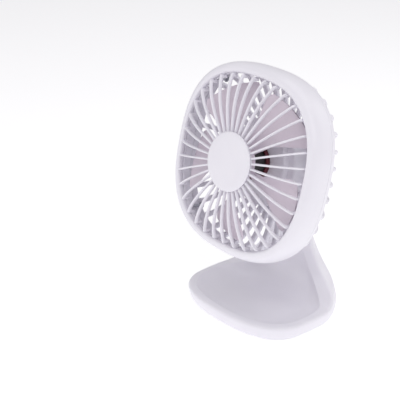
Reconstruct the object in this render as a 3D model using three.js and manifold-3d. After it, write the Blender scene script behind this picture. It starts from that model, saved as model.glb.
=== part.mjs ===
// Rechargeable desk fan: a rounded-square fan head on a spoon-shaped stand, joined by a friction hinge.
// Millimetres, +Z up, the fan blows towards -Y. The origin is the middle of the grip pad's underside.
import * as THREE from "three";
import { mergeVertices } from "three/addons/utils/BufferGeometryUtils.js";
import Module from "manifold-3d";

const wasm = await Module();
wasm.setup();

// ---------------------------------------------------------------- driving dimensions
const GAP = 0.3; // between pieces that touch
const WALL = 2.2; // moulded wall

// Head placing. Its own frame has its origin in the middle of the front opening, y to the back, z up.
const HEAD_TILT = 14.4; // degrees that the face looks up at rest
const HEAD_Z = 132; // its y follows from the neck

// Head shell: rounded squares (superellipses) of a half-width at a depth
const CORNER_POWER = 2.58;
const OPENING_HALF = 65;
const HEAD_HALF = 73.6; // widest half-width
const SEAM_Y = 18; // where the front and rear shells meet
const LIP_BACK_Y = 3.4; // back of the lip round the opening
const HEAD_BACK_Y = 45; // depth of the rear ribs at the pod
const RING_STEPS = 48;

// Grilles
const RIB_COUNT = 36;
const RIB_PHASE = 1.7; // degrees, of the first rib from +X
const RIB_WIDTH = 1.9;
const RIB_DEPTH = 3;
const DOME_EDGE = 1.6; // how far the ribs stand in front of the opening at its edge
const DOME_RISE = 8.8; // how much further they stand out at the badge
const REAR_RIB_WIDTH = 3.8;
const REAR_RIB_DEPTH = 4.6;
const BADGE_R = 22.5;
const BADGE_THICK = 1.6;

// Impeller
const BLADES = 5;
const BLADE_TIP_R = 60;
const BLADE_GAP_HALF = 11; // half the clear way between two blades
const BLADE_ROOT_DEG = 15; // half the angle a blade takes at the hub
const BLADE_SWEEP_DEG = 2;
const BLADE_PHASE = 38;
const BLADE_THICK = 1.5;
const BLADE_DEPTH = 14; // along the axis at the tip
const HUB_R = 14.5;
const HUB_FRONT_Y = -4.6;
const HUB_BACK_Y = 3;

// Motor
const MOTOR_R = 12.4;
const MOTOR_FRONT_Y = 4.4;
const MOTOR_LENGTH = 26;
const SHAFT_R = 1;
const BELL_LENGTH = 3.2;

// Pod on the back of the head, which holds motor, battery and board
const POD_FRONT_Y = 19.5;
const POD_NOSE_R = 28.5;
const POD_R = 34;
const POD_REAR_Y = 56;
const COVER_THICK = 4;
const SCREW_R = 1.2;
const SCREW_HEAD_R = 2.6;
const POD_SCREW_R = POD_R - 4.8;
const POD_SCREW_ANGLES = [30, 150, 270];
const BRACKET_HOLE = MOTOR_R + 4.2;
const BRACKET = { half: BRACKET_HOLE + 3.4, h: 12, t: 1.4, hole: BRACKET_HOLE };
const BATTERY = { w: 36, h: 38, t: 6.4, y: 37.2 };
const BOARD = { w: 38, h: 40, t: 1.6, y: 46.2 };
const BOARD_HOLE = { x: 15.5, z: 16.5 };
const BUTTON_R = 7;
const BUTTON_Z = 11;
const BUTTON_PROUD = 1.6;
const BUTTON_TRAVEL = 1.2;
const SWITCH_TALL = 3.4;
const LENS = { half: 6, z: -2, h: 1.6 };
const PORT = { w: 9, h: 3.3, l: 10.9, z: -13 };

// Hinge between head and stand: axis along X, placed in the head's frame
const HINGE = { y: POD_REAR_Y - 1, z: -POD_R - 8 };
const KNUCKLE_R = 6;
const KNUCKLE_HALF = 8;
const WASHER_THICK = 0.8;
const EAR_THICK = 5;
const EAR_R = 6.6;
const PIN_R = 2.5;
const PIN_HEAD_R = 4.2;
const SINK_R = 4.8; // sinks in the ears for the pin's head, nut and caps
const SINK_DEEP = 3;

// Stand: an outline in a flat strip that is bent up at the back into the neck
const PAD_PROUD = 0.9;
const FRONT_TIP_Y = -41;
const FOOT_LENGTH = 62; // flat stretch, from the front tip
const BEND_R = 27;
const NECK_LEAN = 11; // degrees forward of vertical
const RIM_FOOT = 12; // height of the rim over the underside, round the foot
const RIM_NECK = 8;
const FLOOR = 5; // top of the dish
const FLOOR_THICK = 2;
const FOOT_FLARE = 2.8; // how far the wall draws in at the underside
const FOOT_HALF = 60;
const NECK_DROP = 4.44; // end of the strip below the hinge
const NECK_TO_HINGE = 16.87; // hinge in front of the end of the strip
const NECK_SIDE = 8.1; // neck outside the ears, each side
const BASE_INSET = 5.3;
const BASE_THICK = 1.2;
const OUTLINE_STEPS = 23; // points on each side of the outline

const rad = THREE.MathUtils.degToRad;

// ---------------------------------------------------------------- solids and meshes
// A closed geometry as a manifold solid, turned right side out if its faces point in.
function solid(geometry) {
  const bare = (geometry.index ? geometry.toNonIndexed() : geometry).clone();
  bare.deleteAttribute("normal");
  bare.deleteAttribute("uv");
  const merged = mergeVertices(bare, 1e-4);
  const triVerts = new Uint32Array(merged.index.array);
  const build = () =>
    new wasm.Manifold(
      new wasm.Mesh({
        numProp: 3,
        vertProperties: merged.attributes.position.array,
        triVerts,
      }),
    );
  const made = build();
  if (made.volume() > 0) return made;
  for (let i = 0; i < triVerts.length; i += 3)
    [triVerts[i + 1], triVerts[i + 2]] = [triVerts[i + 2], triVerts[i + 1]];
  return build();
}

function geometryOf(made) {
  const mesh = made.getMesh();
  const position = new Float32Array(mesh.numVert * 3);
  for (let i = 0; i < mesh.numVert; i++)
    position.set(mesh.vertProperties.subarray(i * mesh.numProp, i * mesh.numProp + 3), i * 3);
  return new THREE.BufferGeometry()
    .setAttribute("position", new THREE.BufferAttribute(position, 3))
    .setIndex(new THREE.BufferAttribute(mesh.triVerts, 1));
}

const MATERIALS = {
  shell: { color: 0xf1f0f5, roughness: 0.42 },
  inner: { color: 0xe2e0e8, roughness: 0.5 },
  blade: { color: 0xdcd8e2, roughness: 0.38 },
  button: { color: 0xe4e4ea, roughness: 0.35 },
  rubber: { color: 0x8c8e94, roughness: 0.9 },
  steel: { color: 0xb9bbc0, roughness: 0.3, metalness: 1 },
  brass: { color: 0xc9a35a, roughness: 0.35, metalness: 1 },
  black: { color: 0x232326, roughness: 0.5 },
  magnet: { color: 0x3a3a3e, roughness: 0.7 },
  copper: { color: 0x9c4a32, roughness: 0.4, metalness: 1 },
  cell: { color: 0xa9b4c2, roughness: 0.4 },
  board: { color: 0x2f6b46, roughness: 0.5 },
  red: { color: 0xa32638, roughness: 0.5 },
  maroon: { color: 0x55242c, roughness: 0.6 },
  lens: { color: 0xdfe6ee, roughness: 0.15 },
};

function piece(name, finish, made) {
  const geometry = made.isBufferGeometry ? made : geometryOf(made);
  const mesh = new THREE.Mesh(
    geometry,
    new THREE.MeshStandardMaterial({ metalness: 0, ...MATERIALS[finish] }),
  );
  mesh.name = name;
  return mesh;
}

// Joins rings of points into a closed geometry. With loop, the last ring meets the first; otherwise both
// ends close on their own middle.
function loft(rings, loop = false) {
  const count = rings[0].length;
  const points = rings.flat();
  const triangles = [];
  const spans = loop ? rings.length : rings.length - 1;
  for (let k = 0; k < spans; k++) {
    const next = ((k + 1) % rings.length) * count;
    for (let i = 0; i < count; i++) {
      const j = (i + 1) % count;
      triangles.push([k * count + i, k * count + j, next + j], [k * count + i, next + j, next + i]);
    }
  }
  if (!loop)
    for (const [start, turned] of [[0, true], [(rings.length - 1) * count, false]]) {
      const middle = new THREE.Vector3();
      for (let i = 0; i < count; i++) middle.addScaledVector(points[start + i], 1 / count);
      const centre = points.push(middle) - 1;
      for (let i = 0; i < count; i++) {
        const j = (i + 1) % count;
        triangles.push(turned ? [centre, start + j, start + i] : [centre, start + i, start + j]);
      }
    }
  return new THREE.BufferGeometry()
    .setAttribute(
      "position",
      new THREE.Float32BufferAttribute(points.flatMap((p) => p.toArray()), 3),
    )
    .setIndex(triangles.flat());
}

// A turned solid about the head's y axis, from [radius, y] pairs that start and end on the axis
// or close on themselves.
function turned(profile, steps = 36) {
  const lathe = new THREE.LatheGeometry(
    profile.map(([r, y]) => new THREE.Vector2(r, y)),
    steps,
  );
  return solid(lathe);
}

// A ring turned about y with a square section
function collar(inner, outer, y0, y1, steps = 36) {
  return turned([[inner, y0], [outer, y0], [outer, y1], [inner, y1], [inner, y0]], steps);
}

// A plain rod along y between two depths
function rodY(r, y0, y1, x = 0, z = 0, steps = 20) {
  return turned([[0, y0], [r, y0], [r, y1], [0, y1]], steps).translate([x, 0, z]);
}

function block(x0, x1, y0, y1, z0, z1) {
  const box = new THREE.BoxGeometry(x1 - x0, y1 - y0, z1 - z0);
  box.translate((x0 + x1) / 2, (y0 + y1) / 2, (z0 + z1) / 2);
  return solid(box);
}

// A rod along x
function rodX(r, x0, x1, y, z, steps = 28) {
  return turned([[0, x0], [r, x0], [r, x1], [0, x1]], steps)
    .rotate([0, 0, -90])
    .translate([0, y, z]);
}

function join(solids) {
  return solids.reduce((all, next) => all.add(next));
}

// ---------------------------------------------------------------- head shell
// How much further out a rounded square reaches at an angle than a circle of its half-width
function squareness(angle) {
  const c = Math.abs(Math.cos(angle)) ** CORNER_POWER;
  const s = Math.abs(Math.sin(angle)) ** CORNER_POWER;
  return (c + s) ** (-1 / CORNER_POWER);
}

function squareRing(half, y) {
  return Array.from({ length: RING_STEPS }, (_, i) => {
    const angle = (i / RING_STEPS) * 2 * Math.PI;
    const r = half * squareness(angle);
    return new THREE.Vector3(r * Math.cos(angle), y, r * Math.sin(angle));
  });
}

// A solid whose section is a closed profile of [half-width, y] pairs carried round the rounded square
function squareLoop(profile) {
  return solid(loft(profile.map(([half, y]) => squareRing(half, y)), true));
}

// Places on the four diagonals for the screws that hold the two shells together
const SHELL_SCREW_R = (HEAD_HALF - WALL) * squareness(Math.PI / 4) - 3.3;
function shellScrewPlaces() {
  return [45, 135, 225, 315].map((a) => [
    SHELL_SCREW_R * Math.cos(rad(a)),
    SHELL_SCREW_R * Math.sin(rad(a)),
  ]);
}

const SHELL_SCREW_Y = SEAM_Y + 3.3; // underside of the screw heads
const SHELL_SCREW_LENGTH = 10;

// The outside of the front shell, from the opening's edge to the seam
const FRONT_PROFILE = [
  [OPENING_HALF, 0.8],
  [OPENING_HALF + 0.8, -0.2],
  [OPENING_HALF + 2.8, -0.5],
  [HEAD_HALF - 3.6, 0.4],
  [HEAD_HALF - 1.7, 2.6],
  [HEAD_HALF - 0.4, 6.4],
  [HEAD_HALF, 12],
  [HEAD_HALF - 0.2, SEAM_Y - GAP],
];

function frontShell() {
  const shell = squareLoop([
    ...FRONT_PROFILE,
    [HEAD_HALF - 0.2 - WALL, SEAM_Y - GAP],
    [HEAD_HALF - WALL, 12],
    [HEAD_HALF - 0.4 - WALL, 6.8],
    [HEAD_HALF - 1.4 - WALL, LIP_BACK_Y + 1],
    [OPENING_HALF + 4.4, LIP_BACK_Y],
    [OPENING_HALF, LIP_BACK_Y],
  ]);
  const bosses = shellScrewPlaces().map(([x, z]) => rodY(4.2, 6.6, SEAM_Y - GAP, x, z, 12));
  const pilots = shellScrewPlaces().map(([x, z]) =>
    rodY(SCREW_R + GAP, SHELL_SCREW_Y - SHELL_SCREW_LENGTH - 1, SEAM_Y, x, z, 10),
  );
  return join([shell, ...bosses]).subtract(join(pilots));
}

// ---------------------------------------------------------------- grille ribs
// A rib in the radial plane at an angle: stations of [radius, y] on its outer edge with the unit
// direction in which its depth runs
function rib(angle, stations, width, depth) {
  const across = new THREE.Vector3(-Math.sin(angle), 0, Math.cos(angle)).multiplyScalar(width / 2);
  const outward = new THREE.Vector3(Math.cos(angle), 0, Math.sin(angle));
  const rings = stations.map(([r, y, nr, ny]) => {
    const top = outward.clone().multiplyScalar(r).setY(y);
    const bottom = outward.clone().multiplyScalar(r + nr * depth).setY(y + ny * depth);
    return [
      top.clone().addScaledVector(across, 0.7),
      bottom.clone().add(across),
      bottom.clone().sub(across),
      top.clone().addScaledVector(across, -0.7),
    ];
  });
  return solid(loft(rings));
}

function ribAngles() {
  return Array.from({ length: RIB_COUNT }, (_, i) => rad(RIB_PHASE + (i * 360) / RIB_COUNT));
}

// How far in front of the opening the front ribs stand, at a share of their run outwards
function domeRise(share) {
  return DOME_EDGE + DOME_RISE * (1 - share ** 3);
}

const GRILLE_RIM_Y = LIP_BACK_Y + GAP;
const PLATE_BACK_Y = RIB_DEPTH - DOME_EDGE - DOME_RISE;
const PLATE_THICK = 2;

function frontGrille() {
  const rim = squareLoop([
    [OPENING_HALF - 0.6, GRILLE_RIM_Y],
    [OPENING_HALF + 3.8, GRILLE_RIM_Y],
    [OPENING_HALF + 3.8, GRILLE_RIM_Y + 1.8],
    [OPENING_HALF - 0.6, GRILLE_RIM_Y + 1.8],
  ]);
  const inner = BADGE_R - 2.5;
  const limit = OPENING_HALF - 0.45;
  const ribs = ribAngles().map((angle) => {
    const outer = limit * squareness(angle);
    const crest = [0, 0.5, 0.82].map((share) => [
      inner + (outer - inner) * share,
      -domeRise(share),
      0,
      1,
    ]);
    const corner = [outer, -DOME_EDGE, -0.8, 0.9];
    return rib(angle, [...crest, corner, [outer, GRILLE_RIM_Y + 1, -0.8, 0]], RIB_WIDTH, RIB_DEPTH);
  });
  const plate = collar(3.2, inner + 1, PLATE_BACK_Y - PLATE_THICK, PLATE_BACK_Y, 40);
  return join([rim, plate, ...ribs]);
}

// The round plate in the middle of the front grille, slightly crowned, with a peg into the grille
function badge() {
  const back = PLATE_BACK_Y - RIB_DEPTH - GAP;
  const front = back - BADGE_THICK;
  return turned(
    [
      [0, front - 0.7],
      [10, front - 0.5],
      [BADGE_R - 3, front],
      [BADGE_R - 0.8, front + 0.4],
      [BADGE_R, front + 1.1],
      [BADGE_R, back],
      [2.8, back],
      [2.8, PLATE_BACK_Y],
      [0, PLATE_BACK_Y],
    ],
    36,
  );
}

// ---------------------------------------------------------------- rear grille and pod
// Outer edge of the rear ribs, from the band at the seam round to the pod
const REAR_PROFILE = [
  [HEAD_HALF - 2, 22.4],
  [HEAD_HALF - 3.4, 28.2],
  [HEAD_HALF - 7.6, 32.6],
  [HEAD_HALF - 16.5, 37.4],
  [POD_R - 1, HEAD_BACK_Y],
];

// The pod's closed section: a nose round the motor, a step out to the drum, and the tube that
// grips the motor
const POD_SECTION = [
  [MOTOR_R + GAP, POD_FRONT_Y],
  [POD_NOSE_R - 0.9, POD_FRONT_Y],
  [POD_NOSE_R, POD_FRONT_Y + 0.9],
  [POD_NOSE_R, POD_FRONT_Y + 4.6],
  [POD_R - 1, POD_FRONT_Y + 5.2],
  [POD_R, POD_FRONT_Y + 6.4],
  [POD_R, POD_REAR_Y - GAP],
  [POD_R - WALL, POD_REAR_Y - GAP],
  [POD_R - WALL, POD_FRONT_Y + 7.6],
  [POD_NOSE_R - WALL, POD_FRONT_Y + 7],
  [POD_NOSE_R - WALL, POD_FRONT_Y + 2.4],
  [MOTOR_R + 3, POD_FRONT_Y + 2.4],
  [MOTOR_R + 3, POD_FRONT_Y + 6],
  [MOTOR_R + GAP, POD_FRONT_Y + 6],
  [MOTOR_R + GAP, POD_FRONT_Y],
];

// Unit direction into the head, square to a profile at one of its points
function inward(profile, k) {
  const [r0, y0] = profile[Math.max(k - 1, 0)];
  const [r1, y1] = profile[Math.min(k + 1, profile.length - 1)];
  const length = Math.hypot(r1 - r0, y1 - y0);
  return [-(y1 - y0) / length, (r1 - r0) / length];
}

function podScrewPlaces() {
  return POD_SCREW_ANGLES.map((a) => [POD_SCREW_R * Math.cos(rad(a)), POD_SCREW_R * Math.sin(rad(a))]);
}

// One radial rib of the rear grille. Its run is square with the shell at the sides and round at the pod.
function rearRib(angle) {
  const stations = REAR_PROFILE.map(([half, y], k) => {
    const square = THREE.MathUtils.clamp((half - POD_R) / (66 - POD_R), 0, 1);
    return [half * (1 + (squareness(angle) - 1) * square), y, ...inward(REAR_PROFILE, k)];
  });
  return rib(angle, stations, REAR_RIB_WIDTH, REAR_RIB_DEPTH);
}

// The arm under the pod that carries the hinge's knuckle
function hingeArm() {
  const section = [
    [HINGE.y - 5, HINGE.z - 2],
    [HINGE.y + 3, HINGE.z],
    [POD_REAR_Y - GAP, HINGE.z + KNUCKLE_R + 1],
    [POD_REAR_Y - GAP, 3 - POD_R],
    [HINGE.y - 9, 3 - POD_R],
  ];
  const ring = (x) => section.map(([y, z]) => new THREE.Vector3(x, y, z));
  return solid(loft([ring(-KNUCKLE_HALF), ring(KNUCKLE_HALF)]));
}

function bracketPlaces() {
  return [-BRACKET.hole, BRACKET.hole];
}

const MOTOR_BACK_Y = MOTOR_FRONT_Y + MOTOR_LENGTH;
const BRACKET_Y = MOTOR_BACK_Y + BELL_LENGTH + GAP;

function rearGrille() {
  const band = squareLoop([
    [HEAD_HALF - 0.3, SEAM_Y],
    [HEAD_HALF - 0.9, 20.6],
    [HEAD_HALF - 1.9, 23.2],
    [HEAD_HALF - 1.9 - WALL, 23.2],
    [HEAD_HALF - 0.3 - WALL, SEAM_Y],
  ]);
  const pod = turned(POD_SECTION, 30);
  const coverBosses = podScrewPlaces().map(([x, z]) => rodY(3.4, 41, POD_REAR_Y - GAP, x, z, 12));
  const bracketPosts = bracketPlaces().map((x) => rodY(2.8, POD_FRONT_Y + 1, BRACKET_Y - GAP, x, 0, 16));
  const lugs = shellScrewPlaces().map(([x, z]) => rodY(3.6, SEAM_Y, 22.8, x, z, 12));
  const knuckle = rodX(KNUCKLE_R, -KNUCKLE_HALF, KNUCKLE_HALF, HINGE.y, HINGE.z);
  const body = join([
    band,
    pod,
    ...ribAngles().map(rearRib),
    ...coverBosses,
    ...bracketPosts,
    ...lugs,
    knuckle,
    hingeArm(),
  ]);
  return body.subtract(
    join([
      rodX(PIN_R + GAP, -20, 20, HINGE.y, HINGE.z, 24),
      ...podScrewPlaces().map(([x, z]) => rodY(SCREW_R + GAP, 46, 60, x, z, 10)),
      ...bracketPlaces().map((x) => rodY(1 + GAP, 26, 40, x, 0, 10)),
      ...shellScrewPlaces().map(([x, z]) => rodY(SCREW_R + GAP, 10, 30, x, z, 10)),
      ...shellScrewPlaces().map(([x, z]) =>
        rodY(SCREW_HEAD_R + GAP, SHELL_SCREW_Y - GAP, 30, x, z, 12),
      ),
    ]),
  );
}

// ---------------------------------------------------------------- screws
// A cross-head screw along y: shank towards -y from the origin, head towards +y
function screw(r, headR, headH, length) {
  const made = turned(
    [
      [0, -length],
      [r * 0.4, -length],
      [r, r - length],
      [r, 0],
      [headR, 0],
      [headR, headH * 0.6],
      [headR * 0.7, headH],
      [0, headH],
    ],
    8,
  );
  const long = headR * 0.6;
  const thin = headR * 0.14;
  const cross = block(-long, long, headH * 0.45, headH * 2, -thin, thin).add(
    block(-thin, thin, headH * 0.45, headH * 2, -long, long),
  );
  return made.subtract(cross);
}

// ---------------------------------------------------------------- impeller and motor
// A blade: a cambered, twisted sheet that grows wider from the hub and ends in a rounded tip
function blade(phase) {
  const rings = [0, 0.2, 0.45, 0.72, 0.92, 1].map((share) => {
    const r = HUB_R - 1 + (BLADE_TIP_R - HUB_R + 1) * share;
    const tip = share > 0.9 ? 1 - (share - 0.9) * 2.4 : 1;
    const wide = Math.PI / BLADES - Math.asin(Math.min(0.98, BLADE_GAP_HALF / r));
    const half = Math.max(wide, rad(BLADE_ROOT_DEG)) * tip;
    const sweep = rad(BLADE_SWEEP_DEG) * share * share;
    const front = HUB_FRONT_Y + 1 + 5.2 * share * share;
    const depth = 6 + (BLADE_DEPTH - 6) * Math.min(1, share * 1.25);
    const at = (u, side) => {
      const angle = phase + sweep + half * u;
      const thick = (BLADE_THICK / 2) * (1 - 0.55 * u * u);
      const y = front + (depth * (u + 1)) / 2 + 1.4 * (1 - u * u) + side * thick;
      return new THREE.Vector3(r * Math.sin(angle), y, r * Math.cos(angle));
    };
    const chord = [-1, -0.55, 0, 0.55, 1];
    return [...chord.map((u) => at(u, -1)), ...chord.reverse().map((u) => at(u, 1))];
  });
  return solid(loft(rings));
}

function impeller() {
  const inside = HUB_R - 1.8;
  const hub = turned(
    [
      [0, HUB_FRONT_Y],
      [HUB_R - 2.5, HUB_FRONT_Y],
      [HUB_R, HUB_FRONT_Y + 1.8],
      [HUB_R, HUB_BACK_Y],
      [inside, HUB_BACK_Y],
      [inside, HUB_FRONT_Y + 2.4],
      [3.2, HUB_FRONT_Y + 2.4],
      [3.2, HUB_BACK_Y - 1],
      [SHAFT_R + GAP, HUB_BACK_Y - 1],
      [SHAFT_R + GAP, HUB_FRONT_Y + 1.4],
      [0, HUB_FRONT_Y + 1.4],
    ],
    28,
  );
  const blades = Array.from({ length: BLADES }, (_, i) =>
    blade(rad(BLADE_PHASE + (i * 360) / BLADES)),
  );
  return join([hub, ...blades]);
}

function motorCan() {
  const front = MOTOR_FRONT_Y;
  const inside = MOTOR_R - 0.9;
  return turned(
    [
      [2.6, front],
      [MOTOR_R - 1, front],
      [MOTOR_R, front + 1],
      [MOTOR_R, MOTOR_BACK_Y],
      [inside, MOTOR_BACK_Y],
      [inside, front + 1.4],
      [2.6, front + 1.4],
      [2.6, front],
    ],
    28,
  );
}

function motorBell() {
  const front = MOTOR_BACK_Y + GAP;
  const back = MOTOR_BACK_Y + BELL_LENGTH;
  return turned(
    [
      [SHAFT_R + GAP, front],
      [MOTOR_R - 0.2, front],
      [MOTOR_R - 0.2, front + 1.6],
      [MOTOR_R - 2, back],
      [SHAFT_R + GAP, back],
      [SHAFT_R + GAP, front],
    ],
    24,
  );
}

function bracket() {
  const plate = roundedSlab(BRACKET.half * 2, BRACKET.h, BRACKET.t, BRACKET_Y, 3);
  const holes = bracketPlaces().map((x) => rodY(1 + GAP, 0, 60, x, 0, 10));
  return plate.subtract(join([...holes, rodY(2, 0, 60, 0, 0, 16)]));
}

// ---------------------------------------------------------------- battery, board and controls
// A flat plate square to y with rounded corners
function roundedSlab(w, h, t, y, r) {
  const shape = new THREE.Shape();
  const x = w / 2 - r;
  const z = h / 2 - r;
  shape.absarc(x, z, r, 0, Math.PI / 2);
  shape.absarc(-x, z, r, Math.PI / 2, Math.PI);
  shape.absarc(-x, -z, r, Math.PI, 1.5 * Math.PI);
  shape.absarc(x, -z, r, 1.5 * Math.PI, 2 * Math.PI);
  const slab = new THREE.ExtrudeGeometry(shape, { depth: t, bevelEnabled: false, curveSegments: 4 });
  slab.rotateX(Math.PI / 2);
  slab.translate(0, y + t, 0);
  return solid(slab);
}

const BOARD_BACK_Y = BOARD.y + BOARD.t;
const ON_BOARD_Y = BOARD_BACK_Y + GAP;

function boardScrewPlaces() {
  return [[-BOARD_HOLE.x, BOARD_HOLE.z], [BOARD_HOLE.x, -BOARD_HOLE.z]];
}

function controlBoard() {
  const holes = boardScrewPlaces().map(([x, z]) => rodY(1 + GAP, 40, 60, x, z, 10));
  return roundedSlab(BOARD.w, BOARD.h, BOARD.t, BOARD.y, 2).subtract(join(holes));
}

function podCover() {
  const disc = turned(
    [
      [0, POD_REAR_Y],
      [POD_R, POD_REAR_Y],
      [POD_R, POD_REAR_Y + 1.8],
      [POD_R - 0.7, POD_REAR_Y + 3.2],
      [POD_R - 2, POD_REAR_Y + COVER_THICK],
      [0, POD_REAR_Y + COVER_THICK],
    ],
    36,
  );
  const posts = boardScrewPlaces().map(([x, z]) => rodY(2.6, ON_BOARD_Y, POD_REAR_Y + 1, x, z, 12));
  const port = { x: PORT.w / 2 + GAP, z: PORT.h / 2 + GAP };
  const lens = { x: LENS.half + GAP, z: LENS.h / 2 + GAP };
  const cuts = [
    rodY(BUTTON_R + GAP, 40, 70, 0, BUTTON_Z, 28),
    block(-port.x, port.x, 40, 70, PORT.z - port.z, PORT.z + port.z),
    block(-lens.x, lens.x, 40, 70, LENS.z - lens.z, LENS.z + lens.z),
    ...podScrewPlaces().map(([x, z]) => rodY(SCREW_R + GAP, 40, 70, x, z, 10)),
    ...podScrewPlaces().map(([x, z]) => rodY(SCREW_HEAD_R + GAP, POD_REAR_Y + 2, 70, x, z, 12)),
    ...boardScrewPlaces().map(([x, z]) => rodY(1 + GAP, 40, POD_REAR_Y - 1, x, z, 10)),
  ];
  return join([disc, ...posts]).subtract(join(cuts));
}

function powerButton() {
  const front = ON_BOARD_Y + SWITCH_TALL + BUTTON_TRAVEL;
  const back = POD_REAR_Y + COVER_THICK + BUTTON_PROUD;
  return turned(
    [
      [0, front],
      [2.4, front],
      [2.4, front + 0.8],
      [BUTTON_R + 1.2, front + 0.8],
      [BUTTON_R + 1.2, POD_REAR_Y - GAP],
      [BUTTON_R, POD_REAR_Y - GAP],
      [BUTTON_R, back - 0.9],
      [BUTTON_R - 0.9, back],
      [BUTTON_R - 3, back - 0.25],
      [0, back - 0.5],
    ],
    20,
  ).translate([0, 0, BUTTON_Z]);
}

function tactSwitch() {
  const top = ON_BOARD_Y + SWITCH_TALL - 0.3;
  return block(-3, 3, ON_BOARD_Y, top - 1, BUTTON_Z - 3, BUTTON_Z + 3).add(
    rodY(1.6, top - 1.4, top, 0, BUTTON_Z, 16),
  );
}

function statusLens() {
  const { half, z, h } = LENS;
  const bar = block(-half, half, ON_BOARD_Y + 2.5, POD_REAR_Y + COVER_THICK, z - h / 2, z + h / 2);
  const foot = POD_REAR_Y - GAP;
  return bar.add(block(-half - 1.2, half + 1.2, foot - 1.2, foot, z - h / 2 - 1, z + h / 2 + 1));
}

function usbSocket() {
  const { w, h, l, z } = PORT;
  const y0 = ON_BOARD_Y;
  const back = y0 + l;
  const mouth = block(0.45 - w / 2, w / 2 - 0.45, y0 + 3, back + 1, z - h / 2 + 0.4, z + h / 2 - 0.4);
  const shell = block(-w / 2, w / 2, y0, back, z - h / 2, z + h / 2).subtract(mouth);
  return shell.add(block(-3.1, 3.1, y0 + 2, back - 1, z - 0.4, z + 0.4));
}

// A thin lead along a smooth line through the given points
function lead(r, points) {
  const curve = new THREE.CatmullRomCurve3(points.map((p) => new THREE.Vector3(...p)));
  const section = new THREE.Shape();
  section.absarc(0, 0, r, 0, 2 * Math.PI);
  return solid(
    new THREE.ExtrudeGeometry(section, {
      steps: 9,
      bevelEnabled: false,
      extrudePath: curve,
      curveSegments: 3,
    }),
  );
}

// Motor lead: from the bell's back, over the top of the battery to the front of the board
function motorLead(x) {
  const top = BATTERY.h / 2 + 1.6;
  return lead(0.6, [
    [x, BRACKET_Y + 0.4, 9],
    [x, BRACKET_Y + 1.4, 14],
    [x, BATTERY.y, top],
    [x, BOARD.y - 4, top + 0.4],
    [x, BOARD.y - 1.2, top - 1.8],
    [x, BOARD.y - 0.9, top - 4],
  ]);
}

// Battery lead: from the cell's top edge round to the front of the board
function batteryLead(x) {
  const top = BATTERY.h / 2 + 0.9;
  return lead(0.6, [
    [x, BATTERY.y + 3.2, top],
    [x, BATTERY.y + 4.4, top + 1.6],
    [x, BOARD.y - 2, top + 1],
    [x, BOARD.y - 0.9, top - 3],
  ]);
}

// ---------------------------------------------------------------- stand
const EAR_X0 = KNUCKLE_HALF + WASHER_THICK + 2 * GAP;
const EAR_X1 = EAR_X0 + EAR_THICK;
const SINK_X = EAR_X1 - SINK_DEEP;
const NECK_HALF = EAR_X1 + NECK_SIDE;
const BEND_ANGLE = rad(90 + NECK_LEAN);

// The neck ends a set way below the hinge, and the head stands over the foot by the neck's end
const TILT = rad(HEAD_TILT);
const HINGE_Z = HEAD_Z - HINGE.y * Math.sin(TILT) + HINGE.z * Math.cos(TILT);
const NECK_RISE = HINGE_Z - NECK_DROP - PAD_PROUD - BEND_R * (1 - Math.cos(BEND_ANGLE));
const NECK_TOP = FOOT_LENGTH + BEND_ANGLE * BEND_R + NECK_RISE / Math.sin(BEND_ANGLE);
const HINGE_Y = bent(0, NECK_TOP, 0).y - NECK_TO_HINGE;
const HEAD_Y = HINGE_Y - HINGE.y * Math.cos(TILT) - HINGE.z * Math.sin(TILT);

// Right half of the stand's outline and, point for point, of the edge of its dish:
// [half-width, distance along the strip from the front tip]
const OUTLINE = [
  [0, 0],
  [0.44 * FOOT_HALF, 2.2],
  [0.8 * FOOT_HALF, 11],
  [0.965 * FOOT_HALF, 25],
  [FOOT_HALF, 42],
  [0.997 * FOOT_HALF, 62],
  [0.94 * FOOT_HALF, 78],
  [0.86 * FOOT_HALF, 89.5],
  [0.767 * FOOT_HALF, 98],
  [0.672 * FOOT_HALF, 106],
  [0.565 * FOOT_HALF, 115],
  [0.483 * FOOT_HALF, 124],
  [NECK_HALF + 3, NECK_TOP - 17.5],
  [NECK_HALF, NECK_TOP - 8.5],
  [0.8 * NECK_HALF, NECK_TOP - 3],
  [0.4 * NECK_HALF, NECK_TOP - 0.3],
  [0, NECK_TOP],
];
const DISH = [
  [0, 6.4],
  [0.392 * FOOT_HALF, 8.4],
  [0.71 * FOOT_HALF, 16],
  [0.855 * FOOT_HALF, 28],
  [0.887 * FOOT_HALF, 42],
  [0.85 * FOOT_HALF, 60.5],
  [0.725 * FOOT_HALF, 75],
  [0.6 * FOOT_HALF, 86],
  [0.51 * FOOT_HALF, 94.5],
  [0.438 * FOOT_HALF, 102],
  [0.365 * FOOT_HALF, 110],
  [0.295 * FOOT_HALF, 118],
  [0.6 * NECK_HALF, NECK_TOP - 25.5],
  [0.453 * NECK_HALF, NECK_TOP - 20],
  [0.307 * NECK_HALF, NECK_TOP - 16.5],
  [0.147 * NECK_HALF, NECK_TOP - 14.6],
  [0, NECK_TOP - 14],
];

// A closed smooth line through one of the half outlines and its mirror image
function closedLine(half) {
  const mirrored = half.slice(1, -1).reverse();
  const all = [...half, ...mirrored.map(([x, s]) => [-x, s])];
  return new THREE.CatmullRomCurve3(
    all.map(([x, s]) => new THREE.Vector3(x, s, 0)),
    true,
    "centripetal",
  );
}

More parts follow.
